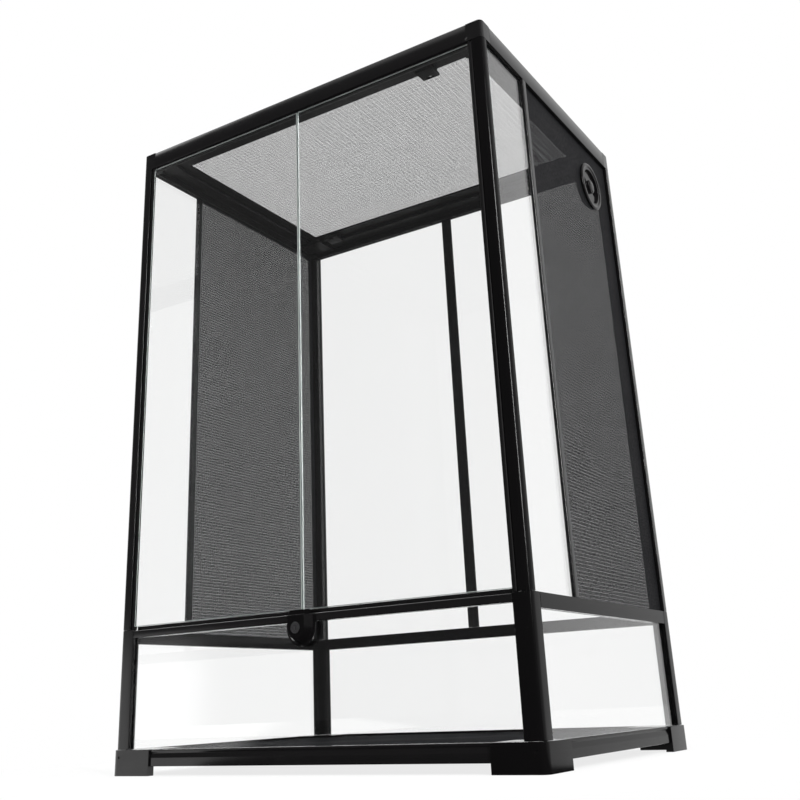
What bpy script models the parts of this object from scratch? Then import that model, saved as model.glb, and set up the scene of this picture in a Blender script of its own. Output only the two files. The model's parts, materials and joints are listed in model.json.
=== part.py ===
"""Tall reptile terrarium with two glass doors, a glass tub below and screens above.

Metres, +Z up. The origin is on the ground under the middle of the case, and the doors
face -Y. Rails, posts and panes are drawn from the case's outer faces: u is the distance
inwards from the outer face of a side, and v the same from the neighbouring side.
"""
import math

import bmesh
import bpy
from mathutils import Matrix, Vector

# Overall size, between the outer faces of the posts, and to the top of the frame
WIDTH = 0.610
DEPTH = 0.457
HEIGHT = 0.913

# Gaps: between pieces that touch, and between pieces that move past each other
FIT = 0.0003
RUN = 0.0006

# Glazing shared by every rail and post
GLASS = 0.004
GLASS_INSET = 0.0045
BITE = 0.006
LIP = 0.0030
SCREEN = 0.0024

# Feet: the outer skirt, the shelf under the floor panel and the plate under the posts
FOOT_LENGTH = 0.062
FOOT_HEIGHT = 0.031
FOOT_PROUD = 0.0025
SKIRT = 0.010
FOOT_PLATE = 0.0027
SHELF = 0.0037
SHELF_LENGTH = 0.045
TONGUE = 0.015
DIMPLE_RADIUS = 0.0016
DIMPLE_DEPTH = 0.0012
DIMPLE_IN = 0.0095
DIMPLE_Z = 0.022

# Base rails and floor panel
GROUND_GAP = 0.011
RAIL_WALL = 0.003
RAIL_SHELF = 0.013
FLUTE_LOW = 0.0230
FLUTE_HEIGHT = 0.0052
FLUTE_DEPTH = 0.0012
FLOOR = 0.004

# Middle frame
MID_TOP = 0.180
MID_HEIGHT = 0.017
MID_THICK = 0.012
FRONT_MID_HEIGHT = 0.0095
SILL_DROP = 0.001
STOP_RISE = 0.0055
SILL_BITE = 0.0050

# Posts: face is seen from the front or back, side from the left or right
LOWER_FACE = 0.0234
LOWER_SIDE = 0.0215
FRONT_FACE = 0.016
FRONT_SIDE = 0.0115
BACK_FACE = 0.021
BACK_SIDE = 0.016
CORNER_RADIUS = 0.0065
EDGE = 0.0008

# Dividers between glass and screen, and between the two back panes
SIDE_DIVIDER = 0.0115
BACK_DIVIDER = 0.018
DIVIDER_DEPTH = 0.0115
DIVIDER_WEB = 0.005
SIDE_DIVIDER_IN = 0.1275

# Top frame
FASCIA = 0.0265
TOP_THICK = 0.012
TOP_LAND = 0.010
LEDGE_IN = 0.034
LEDGE = 0.006
TOP_BITE = 0.008
STOP_DROP = 0.005
GUSSET = 0.060
FRONT_GUSSET = 0.045
GUSSET_THICK = 0.0055
LID_DROP = 0.0020

# Lift-out screen lid
LID_THICK = 0.0064
LID_REBATE = 0.006
LID_BORDER_SIDE = 0.0486
LID_BORDER_FRONT = 0.0565
LID_NET = 0.0016
LID_NET_SEAT = 0.0029

# Screens drawn as flat nets
NET_BAR = 0.0032
NET_BORDER = 0.009
SIDE_NET = (6, 14)
LID_NET_GAPS = (12, 8)

# Lid clips
CLIP_IN_FRONT = 0.109
CLIP_IN_BACK = 0.084
CLIP_WIDTH = 0.026
CLIP_TRAVEL = 0.008
CLIP_OVER = 0.003
CLIP_NOSE = 0.0043
CLIP_HOLE = (0.0065, 0.0027)
CLIP_STEM = (0.0056, 0.0050)
CLIP_HEAD = 0.0096
CLIP_HEAD_THICK = 0.0018

# Doors
DOOR_GAP = 0.002
DOOR_LIFT = 0.0045
DOOR_CLEAR = 0.0020
BEAD_RADIUS = 0.0037
BEAD_V = 0.0040
PIN_RADIUS = 0.0015
PIN_LENGTH = 0.0050
PIN_RUN = 0.0004

# Lock
LOCK_WIDTH = 0.042
LOCK_BASE = 0.038
LOCK_FACE = 0.025
LOCK_DEPTH = 0.0122
LOCK_FLANGE = 0.0016
LOCK_LOW = 0.1415
LOCK_HIGH = 0.1785
KEY_Z = 0.1627
KEY_RADIUS = 0.0069
KEY_PROUD = 0.0006
KEY_SLOT = (0.0012, 0.0060, 0.0030)
CRANK = 0.0040
CRANK_RADIUS = 0.0012
CRANK_ROOM = 0.0005
LATCH_WIDTH = 0.028
LATCH_THICK = 0.0048
LATCH_SHOULDER = 0.0105
LATCH_TAIL = 0.016
LATCH_TAIL_LENGTH = 0.0045

# Cable port in the right screen
PORT_IN = 0.093
PORT_DROP = 0.093
PORT_RADIUS = 0.0385
PORT_FLANGE = 0.0023
PORT_SLEEVE = 0.0306
PORT_BORE = 0.0280
PORT_DEPTH = 0.0155
PORT_WEB = 0.0025
PORT_WEB_IN = 0.0085
PORT_NUT = 0.0025
PORT_COLLAR = 0.036
DISC = 0.0028
DISC_IN = 0.0050
HUB_RADIUS = 0.0110
HUB_RISE = 0.0035
KIDNEY_INNER = 0.0140
KIDNEY_OUTER = 0.0235
KIDNEY_HALF = math.radians(32)
PIVOT_RADIUS = 0.0025
PIVOT_HEAD = 0.0045

# Places worked out from the sizes above
GROOVE_LOW = GLASS_INSET - FIT
GROOVE_HIGH = GLASS_INSET + GLASS + FIT
MID_BOTTOM = MID_TOP - MID_HEIGHT
SILL = MID_TOP - SILL_DROP
FRONT_MID_BOTTOM = SILL - FRONT_MID_HEIGHT
TOP_BOTTOM = HEIGHT - FASCIA
LID_SEAT = HEIGHT - LID_DROP - LID_THICK - FIT
LEDGE_BOTTOM = LID_SEAT - LEDGE
DOOR_BOTTOM = MID_TOP + DOOR_LIFT
DOOR_TOP = TOP_BOTTOM - DOOR_CLEAR
SIDE_DIVIDER_Y = SIDE_DIVIDER_IN - DEPTH / 2
PORT_Y = DEPTH / 2 - PORT_IN
PORT_Z = HEIGHT - PORT_DROP
BEAD_U = FRONT_FACE + RUN + BEAD_RADIUS
LATCH_TOP = DOOR_BOTTOM - RUN
CRANK_TURN = math.sqrt(0.5)

CORNERS = {
    "front_left": (-1, -1),
    "front_right": (1, -1),
    "back_right": (1, 1),
    "back_left": (-1, 1),
}
SIDES = ("front", "right", "back", "left")
AXES = {
    "x": ((0, 1, 0), (0, 0, 1), (1, 0, 0)),
    "y": ((1, 0, 0), (0, 0, 1), (0, 1, 0)),
    "z": ((1, 0, 0), (0, 1, 0), (0, 0, 1)),
}


def clear_scene():
    for item in list(bpy.data.objects):
        bpy.data.objects.remove(item)


def new_collection(name):
    collection = bpy.data.collections.new(name)
    bpy.context.scene.collection.children.link(collection)
    return collection


def new_material(name, colour, roughness, metallic=0.0, clear=0.0):
    material = bpy.data.materials.new(name)
    material.use_nodes = True
    shader = material.node_tree.nodes["Principled BSDF"]
    shader.inputs["Base Color"].default_value = (*colour, 1.0)
    shader.inputs["Roughness"].default_value = roughness
    shader.inputs["Metallic"].default_value = metallic
    shader.inputs["Transmission Weight"].default_value = clear
    return material


clear_scene()
PARTS = new_collection("terrarium")
CUTTERS = new_collection("cutters")
BLACK = new_material("black_plastic", (0.012, 0.012, 0.013), 0.35)
GLOSS = new_material("gloss_black_plastic", (0.010, 0.010, 0.011), 0.15)
CLEAR = new_material("clear_glass", (0.90, 0.95, 0.93), 0.02, clear=1.0)
FLOOR_BLACK = new_material("dark_floor", (0.030, 0.031, 0.034), 0.30)
NET_BLACK = new_material("black_screen", (0.018, 0.018, 0.019), 0.55)
STEEL = new_material("key_metal", (0.10, 0.10, 0.105), 0.30, metallic=0.9)


def rounded(corners, steps=2):
    """Outline through the corners, each (a, b) or (a, b, radius), with its arcs put in."""
    points = []
    count = len(corners)
    for index, corner in enumerate(corners):
        here = Vector(corner[:2])
        radius = corner[2] if len(corner) > 2 else 0.0
        if radius == 0.0:
            points.append(tuple(here))
            continue
        back = (Vector(corners[index - 1][:2]) - here).normalized()
        ahead = (Vector(corners[(index + 1) % count][:2]) - here).normalized()
        half = back.angle(ahead) / 2
        reach = radius / math.tan(half)
        middle = here + (back + ahead).normalized() * radius / math.sin(half)
        start = here + back * reach - middle
        sweep = start.angle_signed(here + ahead * reach - middle)
        arc = max(steps, round(radius * 1000)) if radius > 2 * EDGE else steps
        for step in range(arc + 1):
            turned = Matrix.Rotation(-sweep * step / arc, 2) @ start
            points.append(tuple(middle + turned))
    return points


def prism(outlines, axis, low, high):
    """Mesh of flat outlines, the first one solid and the rest holes, from low to high."""
    curve = bpy.data.curves.new("outline", "CURVE")
    curve.dimensions = "2D"
    curve.fill_mode = "BOTH"
    curve.extrude = (high - low) / 2
    for outline in outlines:
        spline = curve.splines.new("POLY")
        spline.points.add(len(outline) - 1)
        for point, (a, b) in zip(spline.points, outline):
            point.co = (a, b, 0, 1)
        spline.use_cyclic_u = True
    holder = bpy.data.objects.new("outline", curve)
    CUTTERS.objects.link(holder)
    evaluated = holder.evaluated_get(bpy.context.evaluated_depsgraph_get())
    mesh = bpy.data.meshes.new_from_object(evaluated)
    bpy.data.objects.remove(holder)
    bpy.data.curves.remove(curve)
    turn = Matrix(AXES[axis]).transposed()
    place = turn.to_4x4()
    place.translation = turn @ Vector((0, 0, (low + high) / 2))
    mesh.transform(place)
    return welded(mesh)


def welded(mesh):
    shape = bmesh.new()
    shape.from_mesh(mesh)
    bmesh.ops.remove_doubles(shape, verts=shape.verts, dist=1e-6)
    bmesh.ops.recalc_face_normals(shape, faces=shape.faces)
    shape.to_mesh(mesh)
    shape.free()
    return mesh


def block(low, high):
    """Box mesh between two opposite corners."""
    low = Vector(low)
    high = Vector(high)
    shape = bmesh.new()
    size = Matrix.Diagonal((*(high - low), 1.0))
    bmesh.ops.create_cube(shape, matrix=Matrix.Translation((low + high) / 2) @ size)
    mesh = bpy.data.meshes.new("block")
    shape.to_mesh(mesh)
    shape.free()
    return mesh


def rod(radius, axis, low, high, at=(0.0, 0.0), segments=32):
    """Cylinder mesh along an axis, through the point at in that axis's plane."""
    shape = bmesh.new()
    bmesh.ops.create_cone(
        shape,
        cap_ends=True,
        segments=segments,
        radius1=radius,
        radius2=radius,
        depth=high - low,
    )
    turn = Matrix(AXES[axis]).transposed()
    place = turn.to_4x4()
    place.translation = turn @ Vector((*at, (low + high) / 2))
    bmesh.ops.transform(shape, matrix=place, verts=shape.verts)
    bmesh.ops.recalc_face_normals(shape, faces=shape.faces)
    mesh = bpy.data.meshes.new("rod")
    shape.to_mesh(mesh)
    shape.free()
    return mesh


def piece(name, mesh, material, location=(0.0, 0.0, 0.0), turn=0.0):
    """One part of the case, placed by its location and its turn about Z."""
    mesh.name = name
    item = bpy.data.objects.new(name, mesh)
    item.location = location
    item.rotation_euler = (0.0, 0.0, turn)
    item.data.materials.clear()
    item.data.materials.append(material)
    PARTS.objects.link(item)
    return item


def shaped(item, mesh, operation):
    """Adds a live Boolean to a part; the operand rides in the part's own frame."""
    operand = bpy.data.objects.new(f"{item.name}_{operation.lower()}", mesh)
    operand.parent = item
    operand.hide_render = True
    operand.display_type = "WIRE"
    CUTTERS.objects.link(operand)
    modifier = item.modifiers.new(operation.lower(), "BOOLEAN")
    modifier.operation = operation
    modifier.solver = "EXACT"
    modifier.object = operand


def join(item, mesh):
    shaped(item, mesh, "UNION")


def cut(item, mesh):
    shaped(item, mesh, "DIFFERENCE")


def smooth(item, angle=math.radians(35)):
    item.data.shade_smooth()
    item.data.set_sharp_from_angle(angle=angle)


def side_place(side):
    """Location and turn of a side's frame: x along it, y inwards, z up."""
    turn = SIDES.index(side) * math.pi / 2
    reach = WIDTH / 2 if side in ("left", "right") else DEPTH / 2
    return (math.sin(turn) * reach, -math.cos(turn) * reach, 0.0), turn


def side_length(side):
    return DEPTH if side in ("left", "right") else WIDTH


def along_side(side, y):
    """Place along a left or right side's own x of a world Y."""
    return y if side == "right" else -y


def at_corner(corner, outline):
    """Outline in (u, v) from a corner of the case, turned into that corner's own x and y."""
    right, back = CORNERS[corner]
    return [(-right * u, -back * v) for u, v in outline]


def corner_place(corner, z=0.0):
    right, back = CORNERS[corner]
    return (right * WIDTH / 2, back * DEPTH / 2, z)


def corner_block(corner, low, high):
    """Box mesh between two (u, v, z) points, in a corner's own frame."""
    right, back = CORNERS[corner]
    xs = sorted((-right * low[0], -right * high[0]))
    ys = sorted((-back * low[1], -back * high[1]))
    return block((xs[0], ys[0], low[2]), (xs[1], ys[1], high[2]))


def l_outline(proud, length, thick):
    """L in plan: two legs along the sides of the case, with a rounded outer corner."""
    return rounded([
        (-proud, -proud, CORNER_RADIUS + proud),
        (length, -proud),
        (length, thick),
        (thick, thick),
        (thick, length),
        (-proud, length),
    ])


def make_foot(corner):
    wall = GROOVE_HIGH + RAIL_WALL - EDGE
    name = f"foot_{corner}"
    outline = at_corner(corner, l_outline(FOOT_PROUD, FOOT_LENGTH, wall))
    item = piece(name, prism([outline], "z", 0.0, FOOT_HEIGHT), BLACK, corner_place(corner))
    inner = SKIRT - FOOT_PROUD
    far = FOOT_LENGTH + TONGUE
    cut(item, corner_block(corner, (inner, inner, -GROUND_GAP), (far, far, GROUND_GAP)))
    plate = (wall - EDGE, wall - EDGE, FOOT_HEIGHT - FOOT_PLATE)
    join(item, corner_block(corner, plate, (FOOT_LENGTH, FOOT_LENGTH, FOOT_HEIGHT)))
    shelf_top = FOOT_HEIGHT - FOOT_PLATE - FLOOR - 2 * FIT
    shelf = (wall - EDGE, wall - EDGE, shelf_top - SHELF)
    join(item, corner_block(corner, shelf, (SHELF_LENGTH, SHELF_LENGTH, shelf_top)))
    for u_leg in (True, False):
        def leg(along, across, z):
            return (along, across, z) if u_leg else (across, along, z)
        tongue_low = leg(FOOT_LENGTH - FIT, RAIL_WALL + FIT, GROUND_GAP + RAIL_WALL)
        tongue_high = leg(far, wall - FIT, shelf_top - SHELF - FIT)
        join(item, corner_block(corner, tongue_low, tongue_high))
        start = (LOWER_FACE if u_leg else LOWER_SIDE) - BITE - RUN
        groove_low = leg(start, GROOVE_LOW, FOOT_HEIGHT - BITE)
        groove_high = leg(far, GROOVE_HIGH, FOOT_HEIGHT + BITE)
        cut(item, corner_block(corner, groove_low, groove_high))
    right, back = CORNERS[corner]
    face = -back * -FOOT_PROUD
    ends = sorted((face - back * DIMPLE_DEPTH, face + back * DIMPLE_DEPTH))
    spot = (-right * DIMPLE_IN, DIMPLE_Z)
    cut(item, rod(DIMPLE_RADIUS, "y", ends[0], ends[1], spot, 12))
    return item


def make_base_rail(side):
    shelf_top = FOOT_HEIGHT - FOOT_PLATE - FLOOR - 2 * FIT
    floor_in = GROOVE_HIGH + RAIL_WALL - EDGE
    wall_bottom = shelf_top - SHELF
    flute_top = FLUTE_LOW + FLUTE_HEIGHT
    outline = rounded([
        (0.0, GROUND_GAP, EDGE),
        (0.0, FLUTE_LOW),
        (FLUTE_DEPTH, FLUTE_LOW + FLUTE_DEPTH),
        (FLUTE_DEPTH, flute_top - FLUTE_DEPTH),
        (0.0, flute_top),
        (0.0, FOOT_HEIGHT, EDGE),
        (GROOVE_LOW, FOOT_HEIGHT),
        (GROOVE_LOW, FOOT_HEIGHT - BITE),
        (GROOVE_HIGH, FOOT_HEIGHT - BITE),
        (GROOVE_HIGH, FOOT_HEIGHT),
        (floor_in, FOOT_HEIGHT),
        (floor_in, shelf_top),
        (floor_in + RAIL_SHELF, shelf_top),
        (floor_in + RAIL_SHELF, wall_bottom),
        (RAIL_WALL, wall_bottom),
        (RAIL_WALL, GROUND_GAP),
    ])
    half = side_length(side) / 2 - FOOT_LENGTH - FIT
    location, turn = side_place(side)
    piece(f"base_rail_{side}", prism([outline], "x", -half, half), BLACK, location, turn)


def make_floor_panel():
    edge = GROOVE_HIGH + RAIL_WALL - EDGE + FIT
    top = FOOT_HEIGHT - FOOT_PLATE - FIT
    half = (WIDTH / 2 - edge, DEPTH / 2 - edge)
    mesh = block((-half[0], -half[1], top - FLOOR), (half[0], half[1], top))
    piece("floor_panel", mesh, FLOOR_BLACK)


def post_outline(face, side, face_groove=True, wall=None):
    """Post in (u, v): rounded outer corner, grooves for the panes on its two inner faces.

    With a wall, the post is an angle of that thickness, and its inner corner is open.
    """
    corners = [(0.0, 0.0, CORNER_RADIUS), (face, 0.0, EDGE)]
    if face_groove:
        corners += [
            (face, GROOVE_LOW),
            (face - BITE, GROOVE_LOW),
            (face - BITE, GROOVE_HIGH),
            (face, GROOVE_HIGH),
        ]
    corners += [(face, side)] if wall is None else [(face, wall), (wall, wall), (wall, side)]
    corners += [
        (GROOVE_HIGH, side),
        (GROOVE_HIGH, side - BITE),
        (GROOVE_LOW, side - BITE),
        (GROOVE_LOW, side),
        (0.0, side, EDGE),
    ]
    return rounded(corners)


def make_lower_post(corner):
    outline = at_corner(corner, post_outline(LOWER_FACE, LOWER_SIDE, wall=MID_THICK))
    mesh = prism([outline], "z", FOOT_HEIGHT + FIT, MID_TOP)
    item = piece(f"lower_post_{corner}", mesh, BLACK, corner_place(corner))
    pane_slots(item, corner, MID_TOP - BITE, MID_TOP + BITE)
    if "front" in corner:
        cut(item, hinge_socket(corner, MID_TOP - PIN_LENGTH, MID_TOP + PIN_LENGTH))
    return item


def pane_slots(item, corner, low, high):
    """Slots between two heights for the upper panes' corners, which pass the upper post."""
    front = "front" in corner
    side = FRONT_SIDE if front else BACK_SIDE
    start = (GROOVE_LOW, side - BITE - FIT, low)
    cut(item, corner_block(corner, start, (GROOVE_HIGH, GUSSET, high)))
    if not front:
        start = (BACK_FACE - BITE - FIT, GROOVE_LOW, low)
        cut(item, corner_block(corner, start, (GUSSET, GROOVE_HIGH, high)))


def hinge_socket(corner, low, high):
    """Round hole mesh for a door's hinge pin, in a front corner's own frame."""
    right, back = CORNERS[corner]
    spot = (-right * BEAD_U, -back * BEAD_V)
    return rod(PIN_RADIUS + PIN_RUN, "z", low, high, spot, 16)


def make_upper_post(corner):
    front = "front" in corner
    face = FRONT_FACE if front else BACK_FACE
    side = FRONT_SIDE if front else BACK_SIDE
    outline = at_corner(corner, post_outline(face, side, face_groove=not front))
    mesh = prism([outline], "z", MID_TOP + FIT, TOP_BOTTOM - FIT)
    piece(f"upper_post_{corner}", mesh, BLACK, corner_place(corner))


def make_mid_rail(side):
    if side == "front":
        sill_groove = FRONT_MID_BOTTOM + SILL_BITE
        stop = BEAD_V + GLASS / 2 + RUN
        corners = [
            (0.0, FRONT_MID_BOTTOM, EDGE),
            (0.0, SILL, EDGE),
            (stop, SILL),
            (stop, SILL + STOP_RISE, EDGE),
            (MID_THICK, SILL + STOP_RISE, EDGE),
            (MID_THICK, FRONT_MID_BOTTOM),
            (GROOVE_HIGH, FRONT_MID_BOTTOM),
            (GROOVE_HIGH, sill_groove),
            (GROOVE_LOW, sill_groove),
            (GROOVE_LOW, FRONT_MID_BOTTOM),
        ]
    else:
        corners = [
            (0.0, MID_BOTTOM, EDGE),
            (0.0, MID_TOP, EDGE),
            (GROOVE_LOW, MID_TOP),
            (GROOVE_LOW, MID_TOP - BITE),
            (GROOVE_HIGH, MID_TOP - BITE),
            (GROOVE_HIGH, MID_TOP),
            (MID_THICK, MID_TOP),
            (MID_THICK, MID_BOTTOM),
            (GROOVE_HIGH, MID_BOTTOM),
            (GROOVE_HIGH, MID_BOTTOM + BITE),
            (GROOVE_LOW, MID_BOTTOM + BITE),
            (GROOVE_LOW, MID_BOTTOM),
        ]
    post = LOWER_SIDE if side in ("left", "right") else LOWER_FACE
    half = side_length(side) / 2 - post - FIT
    location, turn = side_place(side)
    mesh = prism([rounded(corners)], "x", -half, half)
    piece(f"mid_rail_{side}", mesh, BLACK, location, turn)


def pane(name, side, start, end, low, high, thick=GLASS, material=CLEAR):
    """Flat pane in a side's grooves, between two places along the side."""
    location, turn = side_place(side)
    mesh = block((start, GLASS_INSET, low), (end, GLASS_INSET + thick, high))
    return piece(name, mesh, material, location, turn)


def make_lower_glass(side):
    post = LOWER_SIDE if side in ("left", "right") else LOWER_FACE
    half = side_length(side) / 2 - post + BITE - FIT
    top = FRONT_MID_BOTTOM + SILL_BITE if side == "front" else MID_BOTTOM + BITE
    pane(f"lower_glass_{side}", side, -half, half, FOOT_HEIGHT - BITE + FIT, top - FIT)


def upper_heights():
    """Lowest and highest edge of the panes that stand between the middle and top frames."""
    return MID_TOP - BITE + FIT, TOP_BOTTOM + TOP_BITE - FIT


def make_side_glass(side):
    front = -DEPTH / 2 + FRONT_SIDE - BITE + FIT
    back = SIDE_DIVIDER_Y - DIVIDER_WEB / 2 - FIT
    ends = sorted((along_side(side, front), along_side(side, back)))
    pane(f"side_glass_{side}", side, ends[0], ends[1], *upper_heights())


def make_back_glass(name, sign):
    outer = WIDTH / 2 - BACK_FACE + BITE - FIT
    inner = DIVIDER_WEB / 2 + FIT
    ends = sorted((-sign * outer, -sign * inner))
    pane(name, "back", ends[0], ends[1], *upper_heights())


def make_divider(name, side, place):
    """Upright bar, T-shaped in plan, between two panes: its flange laps over their edges.

    The flange is outside the panes at the sides and inside them at the back.
    """
    web = DIVIDER_WEB / 2
    if side == "back":
        half = BACK_DIVIDER / 2
        flange, lap, end = DIVIDER_DEPTH, GROOVE_HIGH, GROOVE_LOW
    else:
        half = SIDE_DIVIDER / 2
        flange, lap, end = 0.0, GROOVE_LOW, GROOVE_HIGH
    outline = rounded([
        (place - half, flange, EDGE),
        (place + half, flange, EDGE),
        (place + half, lap),
        (place + web, lap),
        (place + web, end),
        (place - web, end),
        (place - web, lap),
        (place - half, lap),
    ])
    location, turn = side_place(side)
    mesh = prism([outline], "z", MID_TOP + FIT, TOP_BOTTOM - FIT)
    piece(name, mesh, BLACK, location, turn)


def net_lines(start, end, border, gaps):
    """Places of the bars' edges across a net: its border, then gap and bar in turn."""
    clear = (end - start - 2 * border - (gaps - 1) * NET_BAR) / gaps
    lines = [start, start + border]
    for gap in range(gaps):
        lines.append(lines[-1] + clear)
        lines.append(lines[-1] + (NET_BAR if gap < gaps - 1 else border))
    return lines


def net(name, a_range, b_range, gaps, thick, border, axis, level):
    """Flat net: a sheet of rows and columns without its gaps, thickened by Solidify."""
    a_lines = net_lines(*a_range, border, gaps[0])
    b_lines = net_lines(*b_range, border, gaps[1])
    turn = Matrix(AXES[axis]).transposed()
    shape = bmesh.new()
    bmesh.ops.create_grid(
        shape, x_segments=len(a_lines) - 1, y_segments=len(b_lines) - 1, size=0.5
    )
    for vert in shape.verts:
        column = round((vert.co.x + 0.5) * (len(a_lines) - 1))
        row = round((vert.co.y + 0.5) * (len(b_lines) - 1))
        vert.co = (a_lines[column], b_lines[row], level)
    holes = [
        face for face in shape.faces
        if is_gap(face.calc_center_median().x, a_lines)
        and is_gap(face.calc_center_median().y, b_lines)
    ]
    bmesh.ops.delete(shape, geom=holes, context="FACES")
    bmesh.ops.transform(shape, matrix=turn.to_4x4(), verts=shape.verts)
    mesh = bpy.data.meshes.new(name)
    shape.to_mesh(mesh)
    shape.free()
    item = piece(name, mesh, NET_BLACK)
    solid = item.modifiers.new("thickness", "SOLIDIFY")
    solid.thickness = thick
    solid.offset = 0.0
    return item


def is_gap(place, lines):
    """True where a place lies in a gap: every second stretch after the border."""
    stretch = sum(1 for line in lines if line < place) - 1
    return stretch % 2 == 1


def make_side_screen(side):
    front = SIDE_DIVIDER_Y + DIVIDER_WEB / 2 + FIT
    back = DEPTH / 2 - BACK_SIDE + BITE - FIT
    ends = sorted((along_side(side, front), along_side(side, back)))
    level = GLASS_INSET + SCREEN / 2
    item = net(
        f"side_screen_{side}",
        ends,
        upper_heights(),
        SIDE_NET,
        SCREEN,
        NET_BORDER,
        "y",
        level,
    )
    item.location, item.rotation_euler.z = side_place(side)
    if side == "right":
        spot = (along_side(side, PORT_Y), PORT_Z)
        rim = NET_BAR / 8
        low = GLASS_INSET - rim / 2
        high = GLASS_INSET + SCREEN + rim
        join(item, rod(PORT_COLLAR, "y", low, high, spot, 32))
        cut(item, rod(PORT_SLEEVE + FIT, "y", 0.0, PORT_DEPTH, spot, 32))
    return item


def make_top_rail(side):
    if side == "front":
        stop = BEAD_V + GLASS / 2 + RUN
        underside = [
            (TOP_THICK, TOP_BOTTOM - STOP_DROP, EDGE),
            (stop, TOP_BOTTOM - STOP_DROP, EDGE),
            (stop, TOP_BOTTOM),
        ]
    else:
        underside = [
            (TOP_THICK, TOP_BOTTOM),
            (GROOVE_HIGH, TOP_BOTTOM),
            (GROOVE_HIGH, TOP_BOTTOM + TOP_BITE),
            (GROOVE_LOW, TOP_BOTTOM + TOP_BITE),
            (GROOVE_LOW, TOP_BOTTOM),
        ]
    outline = rounded([
        (0.0, TOP_BOTTOM, EDGE),
        (0.0, HEIGHT, 2 * EDGE),
        (TOP_LAND, HEIGHT, EDGE),
        (TOP_LAND, LID_SEAT),
        (LEDGE_IN, LID_SEAT),
        (LEDGE_IN, LEDGE_BOTTOM, EDGE),
        (TOP_THICK, LEDGE_BOTTOM),
        *underside,
    ])
    half = side_length(side) / 2 - LOWER_FACE - FIT
    location, turn = side_place(side)
    item = piece(f"top_rail_{side}", prism([outline], "x", -half, half), BLACK, location, turn)
    if side in ("left", "right"):
        trim_ledge(item, half)


def trim_ledge(item, half):
    """Stops a side rail's ledge where the front and back rails' ledges pass it."""
    ledge_end = DEPTH / 2 - LEDGE_IN - FIT
    for end in (-1, 1):
        low, high = sorted((end * ledge_end, end * (half + BITE)))
        cut(item, block(
            (low, LOWER_FACE, LEDGE_BOTTOM - LEDGE), (high, LEDGE_IN + BITE, LID_SEAT + LEDGE)
        ))


def make_top_corner(corner):
    block_outline = rounded([
        (0.0, 0.0, CORNER_RADIUS),
        (LOWER_FACE, 0.0),
        (LOWER_FACE, LOWER_FACE),
        (0.0, LOWER_FACE),
    ])
    mesh = prism([at_corner(corner, block_outline)], "z", TOP_BOTTOM, HEIGHT)
    item = piece(f"top_corner_{corner}", mesh, BLACK, corner_place(corner))
    gusset_top = LEDGE_BOTTOM - FIT
    inner = TOP_THICK + FIT
    reach = FRONT_GUSSET if "front" in corner else GUSSET
    low = (inner, inner, gusset_top - GUSSET_THICK)
    join(item, corner_block(corner, low, (reach, reach, gusset_top)))
    seat = (TOP_LAND, TOP_LAND, LID_SEAT)
    cut(item, corner_block(corner, seat, (reach, reach, HEIGHT + FASCIA)))
    pane_slots(item, corner, TOP_BOTTOM - FASCIA, TOP_BOTTOM + TOP_BITE)
    if "front" in corner:
        cut(item, hinge_socket(corner, TOP_BOTTOM - FASCIA, TOP_BOTTOM + PIN_LENGTH))
    return item


def rectangle(half_x, half_y, radius=0.0):
    return rounded([
        (-half_x, -half_y, radius),
        (half_x, -half_y, radius),
        (half_x, half_y, radius),
        (-half_x, half_y, radius),
    ])


def make_lid():
    low = LID_SEAT + FIT
    outer = (WIDTH / 2 - TOP_LAND - RUN, DEPTH / 2 - TOP_LAND - RUN)
    hole = (WIDTH / 2 - LID_BORDER_SIDE, DEPTH / 2 - LID_BORDER_FRONT)
    mesh = prism([rectangle(*outer), rectangle(*hole)], "z", low, low + LID_THICK)
    frame = piece("lid_frame", mesh, BLACK)
    seat = low + LID_NET_SEAT
    rebate = (hole[0] + LID_REBATE, hole[1] + LID_REBATE)
    cut(frame, block((-rebate[0], -rebate[1], seat), (*rebate, seat + LID_THICK)))
    for sign in (-1, 1):
        for slot in clip_slots(sign):
            cut(frame, slot)
    net(
        "lid_screen",
        (-rebate[0] + FIT, rebate[0] - FIT),
        (-rebate[1] + FIT, rebate[1] - FIT),
        LID_NET_GAPS,
        LID_NET,
        LID_REBATE + NET_BAR,
        "z",
        seat + FIT + LID_NET / 2,
    )


def clip_stem_start():
    """Distance of a clip's stem from the middle of the case, on its inner side."""
    body_end = DEPTH / 2 - LEDGE_IN - FIT - CLIP_TRAVEL
    return body_end - EDGE - CLIP_STEM[1]


def clip_place(sign):
    """X of the middle of a clip: right of the middle at the front, left of it at the back."""
    inwards = CLIP_IN_BACK if sign > 0 else CLIP_IN_FRONT
    return -sign * (WIDTH / 2 - inwards)


def clip_slots(sign):
    """Slot and wider groove above it in the lid's frame, for a clip's stem and head."""
    wide, deep = CLIP_STEM
    start = clip_stem_start() - RUN
    end = start + deep + CLIP_TRAVEL + 2 * RUN
    centre = clip_place(sign)
    ys = sorted((sign * start, sign * end))
    top = LID_SEAT + FIT + LID_THICK
    head_low = top - CLIP_HEAD_THICK - 2 * FIT
    slots = []
    for half, low in ((wide / 2 + RUN, LID_SEAT - FIT), (CLIP_HEAD / 2 + RUN, head_low)):
        slots.append(block((centre - half, ys[0], low), (centre + half, ys[1], top + FIT)))
    return slots


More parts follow.
